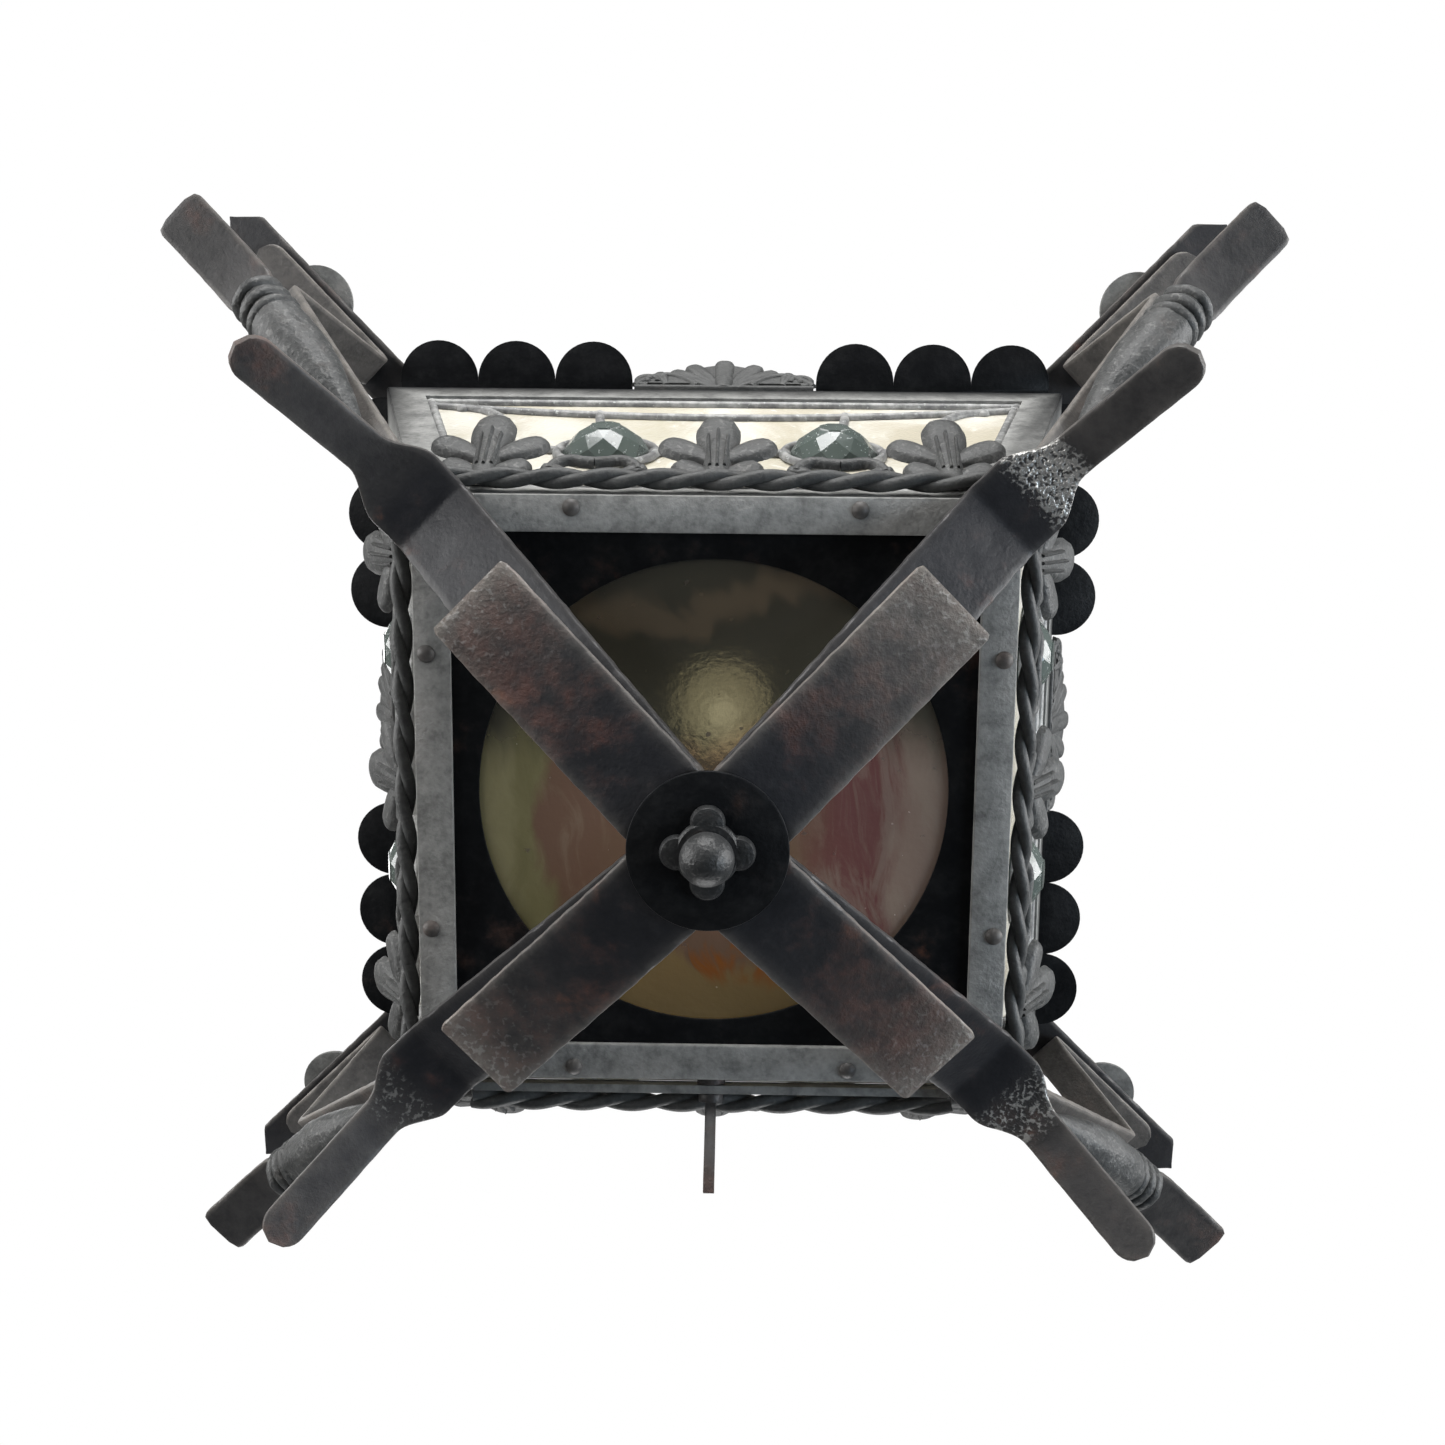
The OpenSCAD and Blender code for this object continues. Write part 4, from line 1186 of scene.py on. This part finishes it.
def join(k, shader, **values):
    """Sets or links the shader's sockets by short names."""
    names = {"color": "Base Color", "rough": "Roughness", "metal": "Metallic", "normal": "Normal",
             "trans": "Transmission Weight", "ior": "IOR", "coat": "Coat Weight",
             "emit": "Emission Color", "power": "Emission Strength", "spec": "Specular IOR Level"}
    for key, v in values.items():
        sock = shader.inputs[names[key]]
        if isinstance(v, bpy.types.NodeSocket):
            k.t.links.new(v, sock)
        elif key in ("color", "emit"):
            sock.default_value = (*v[:3], 1.0)
        else:
            sock.default_value = v


def iron(name, group, cfg, paint, dusty, rusty, rough, dust, rust, grain, shine):
    """Painted iron: worn to rust, dusty in its hollows and bare where it is struck; on the straps the dust
    colour also lays painted highlights and painted light.
    """
    k, shader, vec = material(name)
    finish = k.add("ShaderNodeAttribute", attribute_name="finish").outputs["Vector"]
    g = k.add("ShaderNodeGroup", node_tree=group)
    k.t.links.new(vec, g.inputs["Vector"])
    k.t.links.new(finish, g.inputs["Finish"])
    g.inputs["Rust"].default_value = cfg.rust * rust
    g.inputs["Dust"].default_value = cfg.dust * dust
    tone = g.outputs["Tone"]
    base = k.mix(tone, [c * 0.5 for c in paint], [c * 1.7 for c in paint])
    hue = k.noise(vec, 130, 4, 0.6)
    brown = k.mix(k.band(hue, 0.36, 0.66), [c * 0.3 for c in rusty], rusty)
    warm = k.math("MULTIPLY", k.band(k.noise(vec, 48, 5, 0.6), 0.58, 0.74), 0.6)
    brown = k.mix(warm, brown, (0.20, 0.062, 0.022))
    base = k.mix(k.math("MULTIPLY", g.outputs["Rust mask"], 0.9), base, brown)
    # dust colour; on the straps the same mask also lays painted highlights along the edges and painted
    # light on the foot straps' free ends
    base = k.mix(g.outputs["Dust mask"], base, dusty)
    base = k.mix(g.outputs["Bare mask"], base, (0.34, 0.335, 0.32))
    r = k.math("MULTIPLY_ADD", tone, 0.22, rough - 0.1)
    r = k.math("MULTIPLY_ADD", g.outputs["Rust mask"], 0.28, r)
    r = k.math("MULTIPLY_ADD", g.outputs["Dust mask"], 0.22, r)
    r = k.math("MULTIPLY_ADD", g.outputs["Bare mask"], -0.10, r, clamp=True)
    metal = k.math("MULTIPLY", g.outputs["Bare mask"], 0.8)
    join(k, shader, color=base, rough=r, metal=metal, spec=shine,
         normal=k.bump(g.outputs["Height"], grain, 0.9))


def opal_material(group):
    """Cream and white streaky glass."""
    k, shader, vec = material("opal_glass")
    g = k.add("ShaderNodeGroup", {"Scale": 26.0}, node_tree=group)
    k.t.links.new(k.mapped(vec, (1, 1, 0.5), (0.5, 0.35, 0.2)), g.inputs["Vector"])
    base = k.mix(k.band(g.outputs["Streak"], 0.36, 0.64), (0.52, 0.48, 0.38), (0.68, 0.655, 0.58))
    base = k.mix(k.band(g.outputs["Fine"], 0.56, 0.74), base, (0.80, 0.785, 0.73))
    base = k.mix(k.math("MULTIPLY", k.band(g.outputs["Cloud"], 0.56, 0.72), 0.35), base, (0.44, 0.41, 0.30))
    rough = k.math("MULTIPLY_ADD", g.outputs["Fine"], 0.12, 0.12)
    normal = k.bump(k.math("MULTIPLY_ADD", g.outputs["Ripple"], 1.0, k.noise(vec, 700, 2)), 0.0004, 0.5)
    join(k, shader, color=base, rough=rough, normal=normal, trans=0.2, ior=1.5)


def slag_material(group):
    """Marbled glass: olive on +X, tan and pink in the middle, dark towards +Y."""
    k, shader, vec = material("slag_glass")
    g = k.add("ShaderNodeGroup", {"Scale": 17.0}, node_tree=group)
    k.t.links.new(k.mapped(vec, (1, 1, 1), (0, 0, math.radians(14))), g.inputs["Vector"])
    warp = k.math("SUBTRACT", g.outputs["Streak"], 0.5)
    sep = k.add("ShaderNodeSeparateXYZ", {0: vec})
    x = k.math("MULTIPLY_ADD", warp, 0.05, sep.outputs["X"])
    y = k.math("MULTIPLY_ADD", warp, 0.06, sep.outputs["Y"])
    tan, pink = (0.19, 0.125, 0.076), (0.20, 0.118, 0.080)
    base = k.mix(k.band(g.outputs["Cloud"], 0.40, 0.62), tan, pink)
    base = k.mix(k.band(g.outputs["Streak"], 0.48, 0.66), base, (0.125, 0.092, 0.058))
    base = k.mix(k.math("MULTIPLY", k.band(g.outputs["Fine"], 0.54, 0.72), 0.45), base, (0.30, 0.23, 0.16))
    olive = k.mix(g.outputs["Fine"], (0.15, 0.135, 0.058), (0.29, 0.26, 0.135))
    base = k.mix(k.band(x, 0.054, 0.060), base, olive)
    light_olive = k.mix(g.outputs["Fine"], (0.20, 0.18, 0.085), (0.38, 0.34, 0.19))
    base = k.mix(k.band(x, 0.066, 0.074), base, light_olive)
    streaked = k.mix(k.band(g.outputs["Fine"], 0.42, 0.60), (0.20, 0.075, 0.078), (0.29, 0.20, 0.17))
    base = k.mix(k.math("MULTIPLY", k.band(x, -0.022, -0.052), 0.8), base, streaked)
    base = k.mix(k.math("MULTIPLY", k.band(x, -0.066, -0.074), 0.7), base, (0.38, 0.30, 0.235))
    base = k.mix(k.math("MULTIPLY", k.band(y, -0.058, -0.066), 0.85), base, (0.27, 0.19, 0.078))
    base = k.mix(k.math("MULTIPLY", k.band(y, 0.004, 0.030), 0.97), base, (0.062, 0.059, 0.043))
    rim = k.math("MULTIPLY", k.band(y, 0.062, 0.068), k.band(y, 0.078, 0.072))
    base = k.mix(k.math("MULTIPLY", rim, 0.75), base, (0.17, 0.13, 0.085))
    orange = k.math("MULTIPLY", k.band(g.outputs["Streak"], 0.53, 0.58), k.band(y, -0.034, -0.050))
    base = k.mix(k.math("MULTIPLY", orange, k.band(y, -0.068, -0.060)), base, (0.30, 0.105, 0.022))
    dirt = k.band(k.noise(vec, 260, 2, 0.4), 0.72, 0.78)
    base = k.mix(k.math("MULTIPLY", dirt, 0.6), base, (0.06, 0.045, 0.035))
    rough = k.math("MULTIPLY_ADD", dirt, 0.4, k.math("MULTIPLY_ADD", g.outputs["Fine"], 0.10, 0.12))
    normal = k.bump(k.math("MULTIPLY_ADD", k.noise(vec, 380, 3), 0.3, g.outputs["Ripple"]), 0.0006, 0.6)
    join(k, shader, color=base, rough=rough, normal=normal, trans=0.45, ior=1.5, coat=0.1)


def jewel_material():
    """Grey-green pressed glass with seeds."""
    k, shader, vec = material("jewel_glass")
    seeds = k.band(k.noise(vec, 600, 2), 0.62, 0.70)
    base = k.mix(k.noise(vec, 60, 4), (0.050, 0.068, 0.062), (0.14, 0.165, 0.15))
    base = k.mix(k.math("MULTIPLY", seeds, 0.4), base, (0.42, 0.45, 0.43))
    join(k, shader, color=base, rough=k.math("MULTIPLY_ADD", seeds, 0.2, 0.16), trans=0.35, ior=1.52,
         normal=k.bump(k.noise(vec, 240, 3), 0.0002, 0.4))


def lead_material():
    """Dull grey lead."""
    k, shader, vec = material("lead_came")
    n = k.noise(vec, 160, 5, 0.6)
    base = k.mix(k.band(n, 0.35, 0.7), (0.10, 0.10, 0.10), (0.27, 0.27, 0.26))
    base = k.mix(k.band(k.noise(vec, 520, 3), 0.60, 0.70), base, (0.30, 0.31, 0.30))
    join(k, shader, color=base, metal=0.2, rough=k.math("MULTIPLY_ADD", n, 0.3, 0.4),
         normal=k.bump(k.noise(vec, 500, 4), 0.0003, 0.8))


def socket_material():
    """Moulded black lamp holder."""
    k, shader, vec = material("socket_black")
    n = k.noise(vec, 300, 4)
    join(k, shader, color=k.mix(n, (0.012, 0.012, 0.012), (0.05, 0.048, 0.045)),
         rough=k.math("MULTIPLY_ADD", n, 0.3, 0.3), normal=k.bump(n, 0.0002, 0.5))


def bulb_material(cfg):
    """Frosted glass lit from its heart."""
    k, shader, vec = material("frosted_bulb")
    n = k.noise(vec, 120, 3)
    frost = k.mix(n, (0.93, 0.90, 0.78), (0.99, 0.97, 0.88))
    sep = k.add("ShaderNodeSeparateXYZ", {0: vec})
    off = k.add("ShaderNodeCombineXYZ", {0: sep.outputs["X"], 1: sep.outputs["Y"]}).outputs[0]
    far = k.add("ShaderNodeVectorMath", {0: off}, operation="LENGTH").outputs["Value"]
    heart = k.mix(k.band(far, 0.003, 0.012), (1.0, 0.95, 0.76), (0.42, 0.385, 0.28))
    join(k, shader, color=frost, rough=k.math("MULTIPLY_ADD", n, 0.2, 0.35), emit=heart,
         power=cfg.glow, normal=k.bump(k.noise(vec, 900, 2), 0.0001, 0.4))


class LANTERN_OT_finishes(bpy.types.Operator):
    """Makes the finishes of all the slots"""
    bl_idname = "lantern.finishes"
    bl_label = "Finishes"

    def execute(self, context):
        cfg = context.scene.lantern_finish
        patina, streaks = patina_group(), streak_group()
        iron("forged_iron", patina, cfg, paint=(0.0095, 0.010, 0.012), dusty=(0.135, 0.124, 0.112),
             rusty=(0.060, 0.021, 0.015), rough=0.40, dust=0.2, rust=1.0, grain=0.0004, shine=0.22)
        iron("sheet_iron", patina, cfg, paint=(0.0030, 0.0034, 0.0040), dusty=(0.25, 0.25, 0.24),
             rusty=(0.040, 0.019, 0.013), rough=0.46, dust=0.1, rust=0.5, grain=0.0005, shine=0.10)
        iron("cast_iron_black", patina, cfg, paint=(0.008, 0.0085, 0.009), dusty=(0.070, 0.071, 0.069),
             rusty=(0.05, 0.026, 0.018), rough=0.42, dust=0.4, rust=0.4, grain=0.0006, shine=0.25)
        opal_material(streaks)
        slag_material(streaks)
        jewel_material()
        lead_material()
        socket_material()
        bulb_material(cfg)
        return {"FINISHED"}


class LANTERN_OT_paint(bpy.types.Operator):
    """Gives every piece and CAD node the finish of its slot"""
    bl_idname = "lantern.paint"
    bl_label = "Paint"

    def execute(self, context):
        slots = {s["node"]: s["material_slot"] for s in frame["record"]["subparts"]}
        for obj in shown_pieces():
            slot = obj.get("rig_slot") or slots.get(obj.get("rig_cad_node", ""))
            mat = bpy.data.materials.get("lantern_" + str(slot))
            if mat is None:
                raise RuntimeError(f"no finish for {obj.name}")
            obj.data.materials.clear()
            obj.data.materials.append(mat)
            for p in obj.data.polygons:
                p.material_index = 0
        return {"FINISHED"}


# ---------------------------------------------------------------- stage

class LANTERN_OT_stage(bpy.types.Operator):
    """Pale floor, white surround, soft lights and the camera"""
    bl_idname = "lantern.stage"
    bl_label = "Stage"

    def execute(self, context):
        cfg = context.scene.lantern_stage
        scene = context.scene
        mesh = bpy.data.meshes.new("floor")
        wide, low = 40.0, -cfg.floor_drop
        corners = [(x * wide, y * wide, low) for x, y in ((-1, -1), (1, -1), (1, 1), (-1, 1))]
        mesh.from_pydata(corners, [], [(0, 1, 2, 3)])
        floor = bpy.data.objects.new("floor", mesh)
        scene.collection.objects.link(floor)
        mat = bpy.data.materials.new("stage_floor")
        mat.use_nodes = True
        k = Nodes(mat.node_tree)
        shader = mat.node_tree.nodes["Principled BSDF"]
        n = k.noise(k.add("ShaderNodeTexCoord").outputs["Object"], 3, 4)
        seen = k.add("ShaderNodeLightPath").outputs["Is Camera Ray"]
        pale = k.mix(n, (0.76, 0.76, 0.75), (0.82, 0.82, 0.81))
        join(k, shader, color=k.mix(seen, (0.03, 0.03, 0.03), pale), rough=0.8,
             emit=k.mix(seen, (0.0, 0.0, 0.0), (0.42, 0.42, 0.41)), power=1.0)
        mesh.materials.append(mat)
        floor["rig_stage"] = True
        world = bpy.data.worlds.new("surround")
        world.use_nodes = True
        tree = world.node_tree
        back = tree.nodes["Background"]
        back.inputs["Color"].default_value = (1, 1, 1, 1)
        seen = tree.nodes.new("ShaderNodeLightPath")
        blend = tree.nodes.new("ShaderNodeMapRange")
        blend.inputs["To Min"].default_value = cfg.sky
        blend.inputs["To Max"].default_value = cfg.backdrop
        tree.links.new(seen.outputs["Is Camera Ray"], blend.inputs["Value"])
        tree.links.new(blend.outputs[0], back.inputs["Strength"])
        scene.world = world
        cool, white = (0.68, 0.84, 1.0), (1.0, 1.0, 1.0)
        middle = Vector((0, 0, -0.38))
        for name, at, size, power, color in (
                ("side_left", (1.9, 0.5, -0.45), 1.5, 60, white),
                ("side_right", (-1.9, 0.3, -0.45), 1.5, 75, white),
                ("side_back", (0.1, 2.0, -0.45), 1.5, 90, white),
                ("side_front", (0.0, -2.0, -0.3), 1.5, 38, white),
                ("low_right", (-1.7, 0.0, -1.4), 0.8, 21, cool),
                ("low_left", (1.5, 0.7, -1.5), 0.8, 11, white),
                ("top", (0.3, -0.4, 1.6), 1.6, 30, white)):
            lamp = bpy.data.lights.new(name, "AREA")
            lamp.size, lamp.energy, lamp.color = size, power, color
            obj = bpy.data.objects.new(name, lamp)
            scene.collection.objects.link(obj)
            obj.location = at
            obj.rotation_euler = (middle - Vector(at)).to_track_quat("-Z", "Y").to_euler()
            obj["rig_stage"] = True
        # the camera looks up from under the lantern, turned a little off square
        data = bpy.data.cameras.new("camera")
        data.lens, data.sensor_width = cfg.lens, 36
        cam = bpy.data.objects.new("camera", data)
        scene.collection.objects.link(cam)
        right = Vector((-0.99984, 0.00994, 0.01458))
        ahead = Vector((0.01284, -0.15761, 0.98742)).normalized()
        up = (-ahead).cross(right).normalized()
        right = up.cross(-ahead).normalized()
        turn = Matrix((right, up, -ahead)).transposed().to_4x4()
        stand = row(-10.1, 113.0, -540.0)
        cam.matrix_world = Matrix.Translation(stand) @ turn
        data.clip_start = 0.01
        scene.camera = cam
        scene.view_settings.view_transform = "Standard"
        return {"FINISHED"}


class LANTERN_PT_panel(bpy.types.Panel):
    """Lantern settings and builders"""
    bl_idname = "LANTERN_PT_panel"
    bl_label = "Hanging Lantern"
    bl_space_type = "VIEW_3D"
    bl_region_type = "UI"
    bl_category = "Lantern"

    def draw(self, context):
        for name in ("lantern_straps", "lantern_trim", "lantern_finish", "lantern_stage"):
            group = getattr(context.scene, name)
            box = self.layout.box()
            for prop in group.__annotations__:
                box.prop(group, prop)
        for op in OPERATORS:
            self.layout.operator(op.bl_idname)


GROUPS = (("lantern_straps", LANTERN_PG_straps), ("lantern_trim", LANTERN_PG_trim),
          ("lantern_finish", LANTERN_PG_finish), ("lantern_stage", LANTERN_PG_stage))
OPERATORS = (LANTERN_OT_finishes, LANTERN_OT_foot_straps, LANTERN_OT_corner_scrolls,
             LANTERN_OT_arms_and_buds, LANTERN_OT_hip_straps, LANTERN_OT_hub, LANTERN_OT_sheet_parts,
             LANTERN_OT_ropes, LANTERN_OT_coronets, LANTERN_OT_jewels, LANTERN_OT_cames,
             LANTERN_OT_ornaments, LANTERN_OT_roof, LANTERN_OT_hanging, LANTERN_OT_lamp,
             LANTERN_OT_paint, LANTERN_OT_stage)


def register():
    for name, cls in GROUPS:
        bpy.utils.register_class(cls)
        setattr(bpy.types.Scene, name, bpy.props.PointerProperty(type=cls))
    for cls in OPERATORS + (LANTERN_PT_panel,):
        bpy.utils.register_class(cls)


def unregister():
    for cls in reversed(OPERATORS + (LANTERN_PT_panel,)):
        bpy.utils.unregister_class(cls)
    for name, cls in GROUPS:
        delattr(bpy.types.Scene, name)
        bpy.utils.unregister_class(cls)


def plain(value):
    """Nested vectors as plain lists."""
    if isinstance(value, dict):
        return {k: plain(v) for k, v in value.items()}
    if isinstance(value, (list, tuple, Vector)):
        return [plain(v) for v in value]
    return value


def main():
    register()
    sizes = {"cad": plain(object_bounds())}
    for cls in OPERATORS:
        area, verb = cls.bl_idname.split(".")
        if getattr(getattr(bpy.ops, area), verb)() != {"FINISHED"}:
            raise RuntimeError(cls.bl_label + " did not finish")
    sizes["visual"] = plain(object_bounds())


if __name__ == "__main__":
    main()
